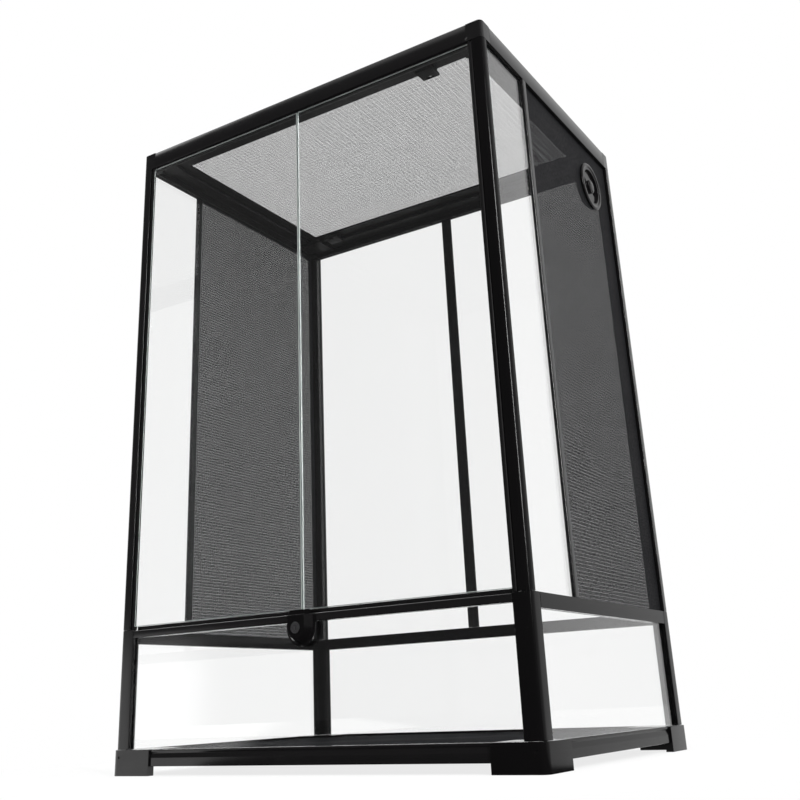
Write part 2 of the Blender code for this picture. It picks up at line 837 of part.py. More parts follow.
def make_clip(name, sign):
    """Sliding clip under the lid's frame: a nose that goes under the ledge, and a pull tab.

    sign is -1 at the front and 1 at the back; drawn with y outwards and then turned.
    """
    hole = DEPTH / 2 - LID_BORDER_FRONT
    nose_end = DEPTH / 2 - LEDGE_IN - FIT
    body_end = nose_end - CLIP_TRAVEL
    tab = hole - CLIP_OVER
    nose_top = LEDGE_BOTTOM - FIT
    nose_bottom = nose_top - CLIP_NOSE
    half = CLIP_WIDTH / 2
    outline = rounded([
        (tab, nose_bottom + EDGE, EDGE),
        (nose_end, nose_bottom, EDGE),
        (nose_end, nose_top, EDGE),
        (body_end, nose_top),
        (body_end, LID_SEAT),
        (hole + LID_REBATE, LID_SEAT),
        (hole + LID_REBATE / 2, nose_top),
        (tab, nose_top, EDGE),
    ])
    mesh = prism([outline], "x", -half, half)
    turn = 0.0 if sign > 0 else math.pi
    item = piece(name, mesh, BLACK, (clip_place(sign), 0.0, 0.0), turn)
    oval = [
        (
            CLIP_HOLE[0] * math.cos(2 * math.pi * step / 16),
            hole + CLIP_HOLE[1] * (math.sin(2 * math.pi * step / 16) + 0.2),
        )
        for step in range(16)
    ]
    cut(item, prism([oval], "z", nose_bottom - CLIP_NOSE, LID_SEAT + CLIP_NOSE))
    start = clip_stem_start()
    end = start + CLIP_STEM[1]
    head_top = LID_SEAT + LID_THICK
    head_low = head_top - CLIP_HEAD_THICK
    half = CLIP_STEM[0] / 2
    join(item, block((-half, start, LID_SEAT - EDGE), (half, end, head_low + EDGE)))
    half = CLIP_HEAD / 2
    join(item, block((-half, start, head_low), (half, end, head_top)))


def make_door(name, right):
    """Frameless pane in a round hinge bead, whose pins stand in the case's front corners."""
    hinge = (right * (WIDTH / 2 - BEAD_U), -DEPTH / 2 + BEAD_V, 0.0)
    half = GLASS / 2
    ends = sorted((-right * (RUN + FIT), right * DOOR_GAP / 2 - hinge[0]))
    glass = block((ends[0], -half, DOOR_BOTTOM), (ends[1], half, DOOR_TOP - RUN))
    piece(f"door_glass_{name}", glass, CLEAR, hinge)
    bead_low = MID_TOP + DOOR_CLEAR
    bead_mesh = rod(BEAD_RADIUS, "z", bead_low, DOOR_TOP, segments=24)
    bead = piece(f"door_hinge_{name}", bead_mesh, BLACK, hinge)
    slot = sorted((-right * RUN, -right * 2 * BEAD_RADIUS))
    cut(bead, block(
        (slot[0], -half - FIT, DOOR_BOTTOM - FIT), (slot[1], half + FIT, DOOR_TOP + BITE)
    ))
    lowest = MID_TOP - PIN_LENGTH + RUN
    highest = TOP_BOTTOM + PIN_LENGTH - RUN
    join(bead, rod(PIN_RADIUS, "z", lowest, bead_low + FIT, segments=16))
    join(bead, rod(PIN_RADIUS, "z", DOOR_TOP - FIT, highest, segments=16))


def clear_outline(width, low, high):
    """U in elevation: flat top, straight flanks and a half-round bottom."""
    radius = width / 2
    points = [(radius, high), (radius, low + radius)]
    steps = 12
    for step in range(1, steps):
        angle = -math.pi * step / steps
        points.append((radius * math.cos(angle), low + radius + radius * math.sin(angle)))
    points += [(-radius, low + radius), (-radius, high)]
    return points


def make_lock():
    back = -DEPTH / 2 - FIT
    front = back - LOCK_DEPTH
    flange = clear_outline(LOCK_WIDTH, LOCK_LOW, LOCK_HIGH)
    item = piece("lock_body", prism([flange], "y", back - LOCK_FLANGE, back), BLACK)
    base_low = LOCK_LOW + (LOCK_WIDTH - LOCK_BASE) / 2
    base_high = LOCK_HIGH - EDGE
    mesh = prism(
        [clear_outline(LOCK_BASE, base_low, base_high)], "y", front, back - LOCK_FLANGE / 2
    )
    shrink = LOCK_FACE / LOCK_BASE
    for vert in mesh.vertices:
        if vert.co.y < (front + back) / 2:
            vert.co.x *= shrink
            vert.co.z = base_high - (base_high - vert.co.z) * (1 + shrink) / 2
    join(item, mesh)
    pocket_front = back - LATCH_THICK - 2 * RUN
    pocket_back = back + LOCK_FLANGE
    for room in latch_blocks(RUN, pocket_front, pocket_back, LOCK_HIGH + LOCK_FLANGE):
        cut(item, room)
    bore_back = pocket_front + LOCK_FLANGE
    bore = rod(KEY_RADIUS + FIT, "y", front - LOCK_FLANGE, bore_back, (0.0, KEY_Z), 32)
    cut(item, bore)
    return front, pocket_front


def latch_blocks(room, front, back, high):
    """The latch's head, and its tail behind the key; room widens them into its pocket."""
    wide = LATCH_WIDTH / 2 + room
    narrow = LATCH_TAIL / 2 + room
    shoulder = LATCH_TOP - LATCH_SHOULDER - room
    low = KEY_Z - CRANK * CRANK_TURN - LATCH_TAIL_LENGTH - room
    return (
        block((-wide, front, shoulder), (wide, back, high)),
        block((-narrow, front, low), (narrow, back, shoulder + LATCH_SHOULDER / 2)),
    )


def make_latch():
    latch_back = -DEPTH / 2 - FIT - RUN
    latch_front = latch_back - LATCH_THICK
    head, tail = latch_blocks(0.0, latch_front, latch_back, LATCH_TOP)
    item = piece("lock_latch", head, BLACK)
    join(item, tail)
    reach = CRANK + CRANK_RADIUS + RUN
    room = CRANK_RADIUS + CRANK_ROOM
    middle = KEY_Z - CRANK * CRANK_TURN
    cut(item, block(
        (-reach, latch_front - LOCK_FLANGE, middle - room),
        (reach, latch_back + LOCK_FLANGE, middle + room),
    ))


def make_key(front, pocket_front):
    """Key cylinder with its crank pin, which lifts the latch as the key turns."""
    key_back = pocket_front - RUN
    key_front = front - KEY_PROUD
    key = piece(
        "lock_cylinder",
        rod(KEY_RADIUS, "y", key_front, key_back, (0.0, 0.0), 32),
        STEEL,
        (0.0, 0.0, KEY_Z),
    )
    offset = -CRANK * CRANK_TURN
    crank_end = pocket_front + 2 * RUN + LATCH_THICK / 2
    join(key, rod(CRANK_RADIUS, "y", key_back - RUN, crank_end, (offset, offset), 12))
    wide, tall, deep = KEY_SLOT
    cut(key, block(
        (-wide / 2, key_front - deep, -tall / 2), (wide / 2, key_front + deep, tall / 2)
    ))


def kidney(turn):
    """Curved slot outline about the origin, centred on an angle."""
    steps = 8
    outer = []
    inner = []
    for step in range(steps + 1):
        angle = turn - KIDNEY_HALF + 2 * KIDNEY_HALF * step / steps
        outer.append((KIDNEY_OUTER * math.cos(angle), KIDNEY_OUTER * math.sin(angle)))
        inner.append((KIDNEY_INNER * math.cos(angle), KIDNEY_INNER * math.sin(angle)))
    return outer + inner[::-1]


def port_piece(name, mesh, material=GLOSS):
    """Piece of the cable port, with its origin on the port's axis."""
    location, turn = side_place("right")
    middle = (location[0], PORT_Y, PORT_Z)
    return piece(name, mesh, material, middle, turn)


def make_port():
    flange_in = GLASS_INSET - FIT - PORT_FLANGE
    body = port_piece(
        "port_body", rod(PORT_RADIUS, "y", flange_in, flange_in + PORT_FLANGE, segments=40)
    )
    join(body, rod(PORT_SLEEVE, "y", flange_in + FIT, PORT_DEPTH, segments=40))
    cut(body, rod(PORT_BORE, "y", flange_in - DISC, PORT_WEB_IN, segments=40))
    web_back = PORT_WEB_IN + PORT_WEB
    cut(body, rod(PORT_BORE, "y", web_back, PORT_DEPTH + DISC, segments=40))
    for turn in (math.pi / 2, -math.pi / 2):
        cut(body, prism([kidney(turn)], "y", 0.0, PORT_DEPTH + DISC))
    cut(body, rod(PIVOT_RADIUS + FIT, "y", 0.0, PORT_DEPTH, segments=16))
    disc_back = PORT_WEB_IN - FIT
    disc_front = disc_back - DISC
    disc = port_piece(
        "port_disc", rod(PORT_BORE - RUN, "y", disc_front, disc_back, segments=40)
    )
    join(disc, rod(HUB_RADIUS, "y", disc_front - HUB_RISE, disc_front + FIT, segments=24))
    for turn in (0.0, math.pi):
        cut(disc, prism([kidney(turn)], "y", disc_front - DISC, disc_back + DISC))
    cut(disc, rod(PIVOT_RADIUS + FIT, "y", 0.0, PORT_DEPTH, segments=16))
    pivot = port_piece(
        "port_pivot",
        rod(PIVOT_RADIUS, "y", disc_front - HUB_RISE, web_back + RUN, segments=16),
        BLACK,
    )
    join(pivot, rod(
        PIVOT_HEAD, "y", web_back + FIT, web_back + PORT_WEB, segments=16
    ))
    nut_in = GLASS_INSET + SCREEN + RUN
    nut = port_piece(
        "port_nut", rod(PORT_COLLAR, "y", nut_in, nut_in + PORT_NUT, segments=32), BLACK
    )
    cut(nut, rod(PORT_SLEEVE + FIT, "y", 0.0, PORT_DEPTH, segments=32))


def build():
    for corner in CORNERS:
        make_foot(corner)
        make_lower_post(corner)
        make_upper_post(corner)
        make_top_corner(corner)
    for side in SIDES:
        make_base_rail(side)
        make_lower_glass(side)
        make_mid_rail(side)
        make_top_rail(side)
    make_floor_panel()
    for side in ("left", "right"):
        make_divider(f"side_divider_{side}", side, along_side(side, SIDE_DIVIDER_Y))
        make_side_glass(side)
        make_side_screen(side)
    make_divider("back_divider", "back", 0.0)
    make_back_glass("back_glass_left", -1)
    make_back_glass("back_glass_right", 1)
    make_lid()
    make_clip("lid_clip_front", -1)
    make_clip("lid_clip_back", 1)
    for name, right in (("left", -1), ("right", 1)):
        make_door(name, right)
    make_latch()
    make_key(*make_lock())
    make_port()
    for item in PARTS.objects:
        smooth(item)


build()
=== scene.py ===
# %% [markdown]
# # A tall glass terrarium
#
# The real object is a tall case of glass panes held by slim black mouldings. Two frameless glass
# doors close the front, and fine mesh fills the rear of both sides and the lid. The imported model
# already has every piece at its exact size, so this lesson gives the pieces their smooth edges,
# their fine mesh and their finishes, and then lights them as a small studio would.
#
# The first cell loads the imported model. Every coordinate is in metres, with the doors facing -Y
# and the ground at Z = 0.

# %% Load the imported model
import json
import math

import bmesh
import bpy
import numpy as np
from mathutils import Matrix, Vector

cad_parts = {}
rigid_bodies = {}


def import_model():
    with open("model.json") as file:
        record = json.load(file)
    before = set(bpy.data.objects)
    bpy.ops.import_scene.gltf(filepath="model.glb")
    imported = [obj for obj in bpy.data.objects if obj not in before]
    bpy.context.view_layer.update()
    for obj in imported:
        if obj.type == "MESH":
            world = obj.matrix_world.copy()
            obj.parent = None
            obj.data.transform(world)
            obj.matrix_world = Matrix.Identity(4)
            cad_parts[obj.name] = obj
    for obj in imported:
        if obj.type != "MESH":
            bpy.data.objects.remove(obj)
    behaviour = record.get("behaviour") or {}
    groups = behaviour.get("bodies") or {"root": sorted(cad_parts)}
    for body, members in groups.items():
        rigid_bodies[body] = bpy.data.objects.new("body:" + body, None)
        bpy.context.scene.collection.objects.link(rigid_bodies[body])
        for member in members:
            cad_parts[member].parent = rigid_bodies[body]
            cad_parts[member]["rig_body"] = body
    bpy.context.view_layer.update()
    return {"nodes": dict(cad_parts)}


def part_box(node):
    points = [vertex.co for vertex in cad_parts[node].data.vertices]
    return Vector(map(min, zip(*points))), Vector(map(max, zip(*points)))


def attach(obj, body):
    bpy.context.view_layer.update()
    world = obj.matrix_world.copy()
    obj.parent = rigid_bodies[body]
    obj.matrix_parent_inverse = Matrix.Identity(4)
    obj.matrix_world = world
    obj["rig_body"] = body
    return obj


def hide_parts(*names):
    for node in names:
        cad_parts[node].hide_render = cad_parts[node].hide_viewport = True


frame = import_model()
nodes = frame["nodes"]

# %% [markdown]
# ## The camera
#
# The case is seen from low down near its right front corner, looking up. The camera could be
# placed by eye, but the straight edges of such a case fix it exactly: its place, its three
# turns and its focal length were worked out from them. The picture's centre isn't on the lens
# axis, so a small shift keeps the upright lines as they are.

# %% The camera
YAW, PITCH, ROLL = (math.radians(turn) for turn in (31.85, 20.82, -2.42))
FOCAL_PIXELS = 1020.79
LENS_CENTRE = (382.52, 317.8)
PICTURE = 800

ahead = Vector((-math.sin(YAW) * math.cos(PITCH), math.cos(YAW) * math.cos(PITCH), math.sin(PITCH)))
level = ahead.cross(Vector((0, 0, 1))).normalized()
above = level.cross(ahead)
right = math.cos(ROLL) * level + math.sin(ROLL) * above
upward = math.cos(ROLL) * above - math.sin(ROLL) * level

lens = bpy.data.cameras.new("camera")
lens.sensor_width = 36.0
lens.lens = FOCAL_PIXELS / PICTURE * lens.sensor_width
lens.shift_x = (PICTURE / 2 - LENS_CENTRE[0]) / PICTURE
lens.shift_y = (LENS_CENTRE[1] - PICTURE / 2) / PICTURE
lens.clip_start = 0.01
camera = bpy.data.objects.new("camera", lens)
camera.matrix_world = Matrix((
    (right.x, upward.x, -ahead.x, 0.77185),
    (right.y, upward.y, -ahead.y, -1.25644),
    (right.z, upward.z, -ahead.z, 0.07075),
    (0, 0, 0, 1),
))
bpy.context.scene.collection.objects.link(camera)
bpy.context.scene.camera = camera
print("lens in mm:", round(lens.lens, 2), "height of the camera:", camera.location.z)

# %% [markdown]
# ## The studio
#
# Black plastic shows almost nothing of its own: what the eye sees is the room in it. The room
# here is a white sky, but its front is dark, as a studio is behind the one who takes the picture,
# apart from a white table that reaches far to the left. Faces that look to the front turn deep
# black, and those that are seen at a low angle mirror the white behind and turn grey. High on the
# left hangs a soft box, and its mirror image draws the thin bright lines on the sill. The sky
# could be an image. A few smooth steps along the compass and the height are enough, and only
# reflections see the dark part, so the ground behind the case stays white from every side.

# %% Small helpers for shader nodes
def add(tree, kind, **values):
    """One shader node; names that are sockets are filled in, and the others are its settings."""
    node = tree.nodes.new(kind)
    for name, value in values.items():
        socket = node.inputs.get(name.replace("_", " "))
        if socket is not None:
            socket.default_value = value
        else:
            setattr(node, name, value)
    return node


def link(tree, *chain):
    """Joins (node, output) to (node, input), pair by pair."""
    for source, target in zip(chain[::2], chain[1::2]):
        tree.links.new(source[0].outputs[source[1]], target[0].inputs[target[1]])


def fill(tree, node, sources):
    """Fills sockets in order, each with a number or a link from a (node, output) pair."""
    for index, source in enumerate(sources):
        if isinstance(source, tuple):
            link(tree, source, (node, index))
        else:
            node.inputs[index].default_value = source
    return node, 0


def calc(tree, operation, *sources):
    """Math node on numbers and (node, output) pairs."""
    return fill(tree, add(tree, "ShaderNodeMath", operation=operation), sources)


def remap(tree, source, low, high, start=0.0, end=1.0):
    """Turns low..high of a source into start..end, softly at both ends."""
    node = add(tree, "ShaderNodeMapRange", interpolation_type="SMOOTHSTEP")
    return fill(tree, node, (source, low, high, start, end))


# %% The sky
DARKNESS = 0.12
TABLE_GLOW = 1.5
RIGHT_SHARE = 0.86
BOX_GLOW = 4.5
DIFFUSE_SHARE = 0.75
TABLE_TOP = (0.03, 0.09)
ZENITH = (0.62, 0.82)
BOX_HEIGHTS = ((0.58, 0.66), (0.86, 0.92))


def degrees(low, high):
    """Two angles in radians, from degrees."""
    return math.radians(low), math.radians(high)


FRONT_LEFT = degrees(40, 44)
FAR_LEFT = degrees(75, 105)
FRONT_RIGHT = degrees(-82, -66)
BOX_ANGLES = (degrees(50, 60), degrees(122, 132))


def compass(tree, place):
    """Angle of a point or direction from the front, growing to the left, and its height."""
    parts = add(tree, "ShaderNodeSeparateXYZ")
    link(tree, place, (parts, 0))
    left = calc(tree, "MULTIPLY", (parts, "X"), -1.0)
    front = calc(tree, "MULTIPLY", (parts, "Y"), -1.0)
    return calc(tree, "ARCTAN2", left, front), (parts, "Z")


def mirrored_only(tree, amount):
    """The amount for rays that some surface has mirrored, and 0 for all others."""
    path = add(tree, "ShaderNodeLightPath")
    return calc(tree, "MULTIPLY", amount, calc(tree, "GREATER_THAN", (path, "Glossy Depth"), 0.5))


def band(tree, source, rise, fall):
    """1 where a source lies between two soft steps, and 0 outside them."""
    return calc(tree, "MULTIPLY", remap(tree, source, *rise), remap(tree, source, *fall, 1.0, 0.0))


def scaled(tree, value, where, factor):
    """The value, times a factor where the other source is 1."""
    return calc(tree, "MULTIPLY", value, remap(tree, where, 0.0, 1.0, 1.0, factor))


world = bpy.data.worlds.new("studio_sky")
world.use_nodes = True
bpy.context.scene.world = world
sky = world.node_tree
sky.nodes.clear()
place = add(sky, "ShaderNodeTexCoord")
angle, height = compass(sky, (place, "Generated"))
low_down = remap(sky, height, *TABLE_TOP, 1.0, 0.0)
table = calc(sky, "MULTIPLY", remap(sky, angle, *FRONT_LEFT), low_down)
to_left = calc(sky, "MAXIMUM", remap(sky, angle, *FAR_LEFT), table)
to_right = remap(sky, angle, *FRONT_RIGHT, 1.0, 0.0)
sides = calc(sky, "MAXIMUM", to_left, to_right)
bright = calc(sky, "MAXIMUM", sides, remap(sky, height, *ZENITH))
dark = mirrored_only(sky, calc(sky, "SUBTRACT", 1.0, bright))
seen = remap(sky, dark, 0.0, 1.0, 1.0, DARKNESS)
near_table = calc(sky, "MULTIPLY", table, remap(sky, angle, *FAR_LEFT, 1.0, 0.0))
seen = scaled(sky, seen, mirrored_only(sky, near_table), TABLE_GLOW)
seen = scaled(sky, seen, mirrored_only(sky, to_right), RIGHT_SHARE)
box = calc(sky, "MULTIPLY", band(sky, height, *BOX_HEIGHTS), band(sky, angle, *BOX_ANGLES))
seen = calc(sky, "ADD", seen, calc(sky, "MULTIPLY", mirrored_only(sky, box), BOX_GLOW))
path = add(sky, "ShaderNodeLightPath")
strength = scaled(sky, seen, (path, "Is Diffuse Ray"), DIFFUSE_SHARE)
background = add(sky, "ShaderNodeBackground", Color=(1.0, 1.0, 1.0, 1.0))
output = add(sky, "ShaderNodeOutputWorld")
link(sky, strength, (background, "Strength"), (background, 0), (output, "Surface"))
print("sky: white, and", DARKNESS, "in the mirrored front")

# %% [markdown]
# ## The floor and the lamps
#
# The case stands on a plain white floor. Near the feet the floor takes shadow, and further away
# it becomes as white as the sky, so no horizon shows. Like the sky, it is dark in front for
# mirrored rays only, and bright where the table is. Two lamps shape the black plastic. One
# overhead gives shape to the corners, and a tall thin strip at the right front draws the bright
# line down the rounded post.

# %% The floor
FLOOR_REACH = 6.0
FLOOR_RINGS, FLOOR_TURNS = 13, 64
FLOOR_WHITE = (0.92, 0.92, 0.92, 1.0)
PURE_WHITE = (1.0, 1.0, 1.0, 1.0)
SHADOW_REACH = (0.32, 0.64)
LEAST_GLOW = 0.80
DIM_FRONT = 0.06
TABLE_LEFT = degrees(35, 39)
SHARP_FROM = math.radians(35)


def ring_faces(rows, columns):
    """Corner numbers of the quads between rings of points, each ring closed on itself."""
    row, column = np.meshgrid(np.arange(rows - 1), np.arange(columns), indexing="ij")
    here = row * columns + column
    beside = row * columns + (column + 1) % columns
    return np.stack((here, beside, beside + columns, here + columns), axis=-1).reshape(-1, 4)


def surface(name, points, faces, material, smooth=True):
    """Object from an array of points and a list of faces, at the origin and unturned."""
    mesh = bpy.data.meshes.new(name)
    mesh.from_pydata(points.reshape(-1, 3), [], [tuple(face) for face in faces])
    mesh.validate()
    if smooth:
        mesh.shade_smooth()
        mesh.set_sharp_from_angle(angle=SHARP_FROM)
    mesh.materials.append(material)
    thing = bpy.data.objects.new(name, mesh)
    bpy.context.scene.collection.objects.link(thing)
    return thing


def new_material(name):
    """Material with an empty node tree, its output and a Texture Coordinate node."""
    material = bpy.data.materials.new(name)
    material.use_nodes = True
    tree = material.node_tree
    tree.nodes.clear()
    return material, tree, add(tree, "ShaderNodeOutputMaterial"), add(tree, "ShaderNodeTexCoord")


paper, tree, output, place = new_material("studio_floor")
distance = add(tree, "ShaderNodeVectorMath", operation="LENGTH")
share = remap(tree, (distance, "Value"), *SHADOW_REACH, LEAST_GLOW, 1.0)
angle = compass(tree, (place, "Object"))[0]
on_table = mirrored_only(tree, remap(tree, angle, *TABLE_LEFT))
in_front = mirrored_only(tree, band(tree, angle, FRONT_RIGHT, TABLE_LEFT))
matte = add(tree, "ShaderNodeBsdfDiffuse", Color=FLOOR_WHITE)
white = add(tree, "ShaderNodeEmission", Color=PURE_WHITE)
dim = add(tree, "ShaderNodeEmission", Color=PURE_WHITE, Strength=DIM_FRONT)
blend = add(tree, "ShaderNodeMixShader")
shown = add(tree, "ShaderNodeMixShader")
link(
    tree,
    (place, "Object"), (distance, 0),
    share, (blend, 0),
    (matte, 0), (blend, 1),
    remap(tree, on_table, 0.0, 1.0, 1.0, TABLE_GLOW), (white, "Strength"),
    (white, 0), (blend, 2),
    in_front, (shown, 0),
    (blend, 0), (shown, 1),
    (dim, 0), (shown, 2),
    (shown, 0), (output, "Surface"),
)
rings = np.linspace(0.0, 1.0, FLOOR_RINGS)[:, None] ** 2 * FLOOR_REACH
turns = np.linspace(0.0, 2 * np.pi, FLOOR_TURNS, endpoint=False)[None]
disc = np.stack(np.broadcast_arrays(rings * np.cos(turns), rings * np.sin(turns), 0.0 * rings), -1)
around = ring_faces(FLOOR_RINGS - 1, FLOOR_TURNS)
floor = surface("studio_floor", disc[1:], around, paper)
middle = surface("studio_floor_middle", disc[1], [range(FLOOR_TURNS)], paper)
print("floor: a disc of", FLOOR_REACH, "m")

# %% The lamps
LAMPS = {
    "front_strip": ((2.6, -2.0, 1.5), (0.26, 1.7), 95.0),
    "top_soft_box": ((-0.4, -0.6, 3.2), (1.6, 1.6), 0.8),
}
CASE_MIDDLE = Vector((0.0, 0.0, 0.5))

for name, (spot, size, radiance) in LAMPS.items():
    lamp = bpy.data.lights.new(name, "AREA")
    lamp.shape = "RECTANGLE"
    lamp.size, lamp.size_y = size
    lamp.energy = radiance * math.pi * size[0] * size[1]
    holder = bpy.data.objects.new(name, lamp)
    holder.location = spot
    holder.rotation_euler = (CASE_MIDDLE - Vector(spot)).to_track_quat("-Z", "Y").to_euler()
    holder.visible_camera = False
    holder.visible_transmission = False
    bpy.context.scene.collection.objects.link(holder)
    print(name, "energy in W:", round(lamp.energy, 1))

# %% [markdown]
# ## The black plastic
#
# The mouldings are black plastic with a satin skin: smooth, but with the fine grain that a
# polished mould leaves, and with slow changes of gloss where hands have wiped it. A flat black
# would look like a hole in the picture. Here the colour, the roughness and the relief each come
# from a noise of their own, read in the object's own coordinates so that it stays on the piece.
# The index sets how much a face mirrors when it is seen straight on. The shaded satin is a darker
# copy of the plain one that mirrors less: painted shade for the pieces that look almost evenly
# black.

# %% Black plastic
def noise(tree, place, scale, detail=3.0, roughness=0.5, stretch=None):
    """Noise on the object's own coordinates; stretch makes it longer along one of them."""
    node = add(tree, "ShaderNodeTexNoise", Scale=scale, Detail=detail, Roughness=roughness)
    if stretch is None:
        link(tree, (place, "Object"), (node, "Vector"))
    else:
        mapping = add(tree, "ShaderNodeMapping", Scale=stretch)
        link(tree, (place, "Object"), (mapping, "Vector"), (mapping, 0), (node, "Vector"))
    return node


def mixed(tree, factor, first, second):
    """Colour between two colours by a factor."""
    node = add(tree, "ShaderNodeMix", data_type="RGBA")
    node.inputs[6].default_value = (*first, 1.0)
    node.inputs[7].default_value = (*second, 1.0)
    link(tree, factor, (node, 0))
    return node


def relief(tree, height, depth, strength):
    """Bump node that raises the surface by a height, depth metres at most."""
    node = add(tree, "ShaderNodeBump", Distance=depth, Strength=strength)
    link(tree, height, (node, "Height"))
    return node


CLOUD_SCALE, WIPE_SCALE = 9.0, 26.0
ALONG_Z = (1.0, 1.0, 0.25)
SKIN_DEPTH, SKIN_STRENGTH = 0.00002, 0.10


def plastic(name, dark, pale, rough, grain, index):
    """Moulded plastic: two near blacks, a roughness range, a grain size and a gloss index."""
    material, tree, output, place = new_material(name)
    shader = add(tree, "ShaderNodeBsdfPrincipled", IOR=index)
    clouds = noise(tree, place, CLOUD_SCALE, 4.0)
    tint = mixed(tree, (clouds, 0), dark, pale)
    wiped = noise(tree, place, WIPE_SCALE, 5.0, 0.6, ALONG_Z)
    gloss = remap(tree, (wiped, 0), 0.30, 0.72, *rough)
    skin = noise(tree, place, grain, 2.0, 0.6)
    bumps = relief(tree, (skin, 0), SKIN_DEPTH, SKIN_STRENGTH)
    link(
        tree,
        (tint, 2), (shader, "Base Color"),
        gloss, (shader, "Roughness"),
        (bumps, 0), (shader, "Normal"),
        (shader, 0), (output, "Surface"),
    )
    return material


SATIN = plastic(
    "satin_black", (0.0026, 0.0024, 0.0026), (0.0046, 0.0044, 0.0046),
    rough=(0.12, 0.18), grain=900.0, index=1.42,
)
# Painted shade: a darker, less mirroring copy of the satin, for the pieces that look shaded.
SHADED_SATIN = plastic(
    "shaded_satin_black", (0.0016, 0.0015, 0.0016), (0.0032, 0.0030, 0.0032),
    rough=(0.11, 0.18), grain=900.0, index=1.20,
)
# A duller black for the lid's frame, its clips, the door beads and the collars, and painted shade
# on the undersides of the top frame.
MATTE_AND_SHADE = plastic(
    "matte_black_and_shade", (0.0036, 0.0034, 0.0036), (0.0060, 0.0058, 0.0060),
    rough=(0.34, 0.46), grain=1400.0, index=1.12,
)
GLOSS = plastic(
    "gloss_black", (0.0030, 0.0028, 0.0030), (0.0050, 0.0048, 0.0050),
    rough=(0.10, 0.17), grain=1800.0, index=1.26,
)
print("plastics:", SATIN.name, SHADED_SATIN.name, MATTE_AND_SHADE.name, GLOSS.name)

# %% [markdown]
# ## The glass
#
# The panes are 4 mm float glass. It bends light twice and reflects a little from both faces, so a
# solid pane with a real refraction is right, where a thin transparent sheet would miss the shift
# of what lies behind. Lamps reach through it by a transparent shader for shadow rays only. The
# free edges of the doors are ground, and there the green of the iron in the glass shows.

# %% Glass
def clear_glass():
    """Float glass that is clear for shadow rays, with a faint smear in its tint."""
    material, tree, output, place = new_material("float_glass")
    shader = add(tree, "ShaderNodeBsdfPrincipled", IOR=1.46, Roughness=0.0)
    shader.inputs["Transmission Weight"].default_value = 1.0
    smear = noise(tree, place, 5.0, 6.0, 0.65)
    tint = mixed(tree, (smear, 0), (0.990, 0.994, 0.992), (1.0, 1.0, 1.0))
    through = add(tree, "ShaderNodeBsdfTransparent", Color=(0.90, 0.93, 0.92, 1.0))
    path = add(tree, "ShaderNodeLightPath")
    blend = add(tree, "ShaderNodeMixShader")
    link(
        tree,
        (tint, 2), (shader, "Base Color"),
        (path, "Is Shadow Ray"), (blend, 0),
        (shader, 0), (blend, 1),
        (through, 0), (blend, 2),
        (blend, 0), (output, "Surface"),
    )
    return material


def ground_glass():
    """Ground edge of a pane: frosted and greenish, with streaks along it."""
    material, tree, output, place = new_material("ground_glass_edge")
    shader = add(tree, "ShaderNodeBsdfPrincipled", IOR=1.5)
    shader.inputs["Transmission Weight"].default_value = 0.80
    streaks = noise(tree, place, 420.0, 3.0, 0.6, (1.0, 1.0, 0.05))
    tint = mixed(tree, (streaks, 0), (0.19, 0.24, 0.22), (0.29, 0.34, 0.32))
    gloss = remap(tree, (streaks, 0), 0.3, 0.7, 0.30, 0.50)
    bumps = relief(tree, (streaks, 0), 0.00008, 0.4)
    link(
        tree,
        (tint, 2), (shader, "Base Color"),
        gloss, (shader, "Roughness"),
        (bumps, 0), (shader, "Normal"),
        (shader, 0), (output, "Surface"),
    )
    return material


GLASS = clear_glass()
EDGE = ground_glass()
print("glass:", GLASS.name, EDGE.name)

# %% [markdown]
# ## Bars carried along a path
#
# Posts, rails and dividers are straight mouldings: one section, pushed through a die. So each
# is its section carried along a straight path. A section is a list of corners, and every corner
# is rounded by a short parabola between the two edges that meet there, which is one formula for
# all corners at once. At both ends the section shrinks by a third of a millimetre, which gives
# the saw cut its small bevel.

# %% Sections and bars
CORNER_STEPS = 8
SAW_BEVEL = 0.0003


def section(corners):
    """Closed outline through (a, b, reach) corners.

    A corner C with unit edges p back to the last corner and n on to the next one becomes
    C + reach * (p * (1 - t)**2 + n * t**2) for t from 0 to 1, a parabola that leaves both edges
    without a kink. Where reach is 0 all its points are C, and only one is kept.
    """
    table = np.array([(*corner, 0.0)[:3] for corner in corners], float)
    point, reach = table[:, :2], table[:, 2]
    back = np.roll(point, 1, axis=0) - point
    on = np.roll(point, -1, axis=0) - point
    back /= np.linalg.norm(back, axis=1)[:, None]
    on /= np.linalg.norm(on, axis=1)[:, None]
    t = np.linspace(0.0, 1.0, CORNER_STEPS + 1)[None, :, None]
    bend = back[:, None] * (1 - t) ** 2 + on[:, None] * t**2
    arcs = point[:, None] + reach[:, None, None] * bend
    keep = (reach[:, None] > 0) | (np.arange(CORNER_STEPS + 1)[None] == 0)
    return arcs[keep]


def inset(outline, depth):
    """Outline moved inwards by depth, along the mean normal of the two edges at each point."""
    edge = np.roll(outline, -1, axis=0) - outline
    edge /= np.linalg.norm(edge, axis=1)[:, None]
    normal = np.stack((-edge[:, 1], edge[:, 0]), axis=1)
    mean = normal + np.roll(normal, 1, axis=0)
    mean /= np.linalg.norm(mean, axis=1)[:, None]
    a, b = outline[:, 0], outline[:, 1]
    area = np.sum(a * np.roll(b, -1) - np.roll(a, -1) * b)
    return outline + np.sign(area) * depth * mean


def carried(outline, low, high, to_world):
    """Rings of an outline at low, just inside it, just inside high, and at high."""
    small = inset(outline, SAW_BEVEL)
    stations = (
        (small, low),
        (outline, low + SAW_BEVEL),
        (outline, high - SAW_BEVEL),
        (small, high),
    )
    rings = [np.column_stack((ring, np.full(len(ring), level))) for ring, level in stations]
    return to_world(np.stack(rings))


def capped_faces(rows, columns):
    """Faces of a tube of rings, with one face over its first ring and one over its last."""
    number = np.arange(rows * columns).reshape(rows, columns)
    caps = [number[0, ::-1].tolist(), number[-1].tolist()]
    return ring_faces(rows, columns).tolist() + caps


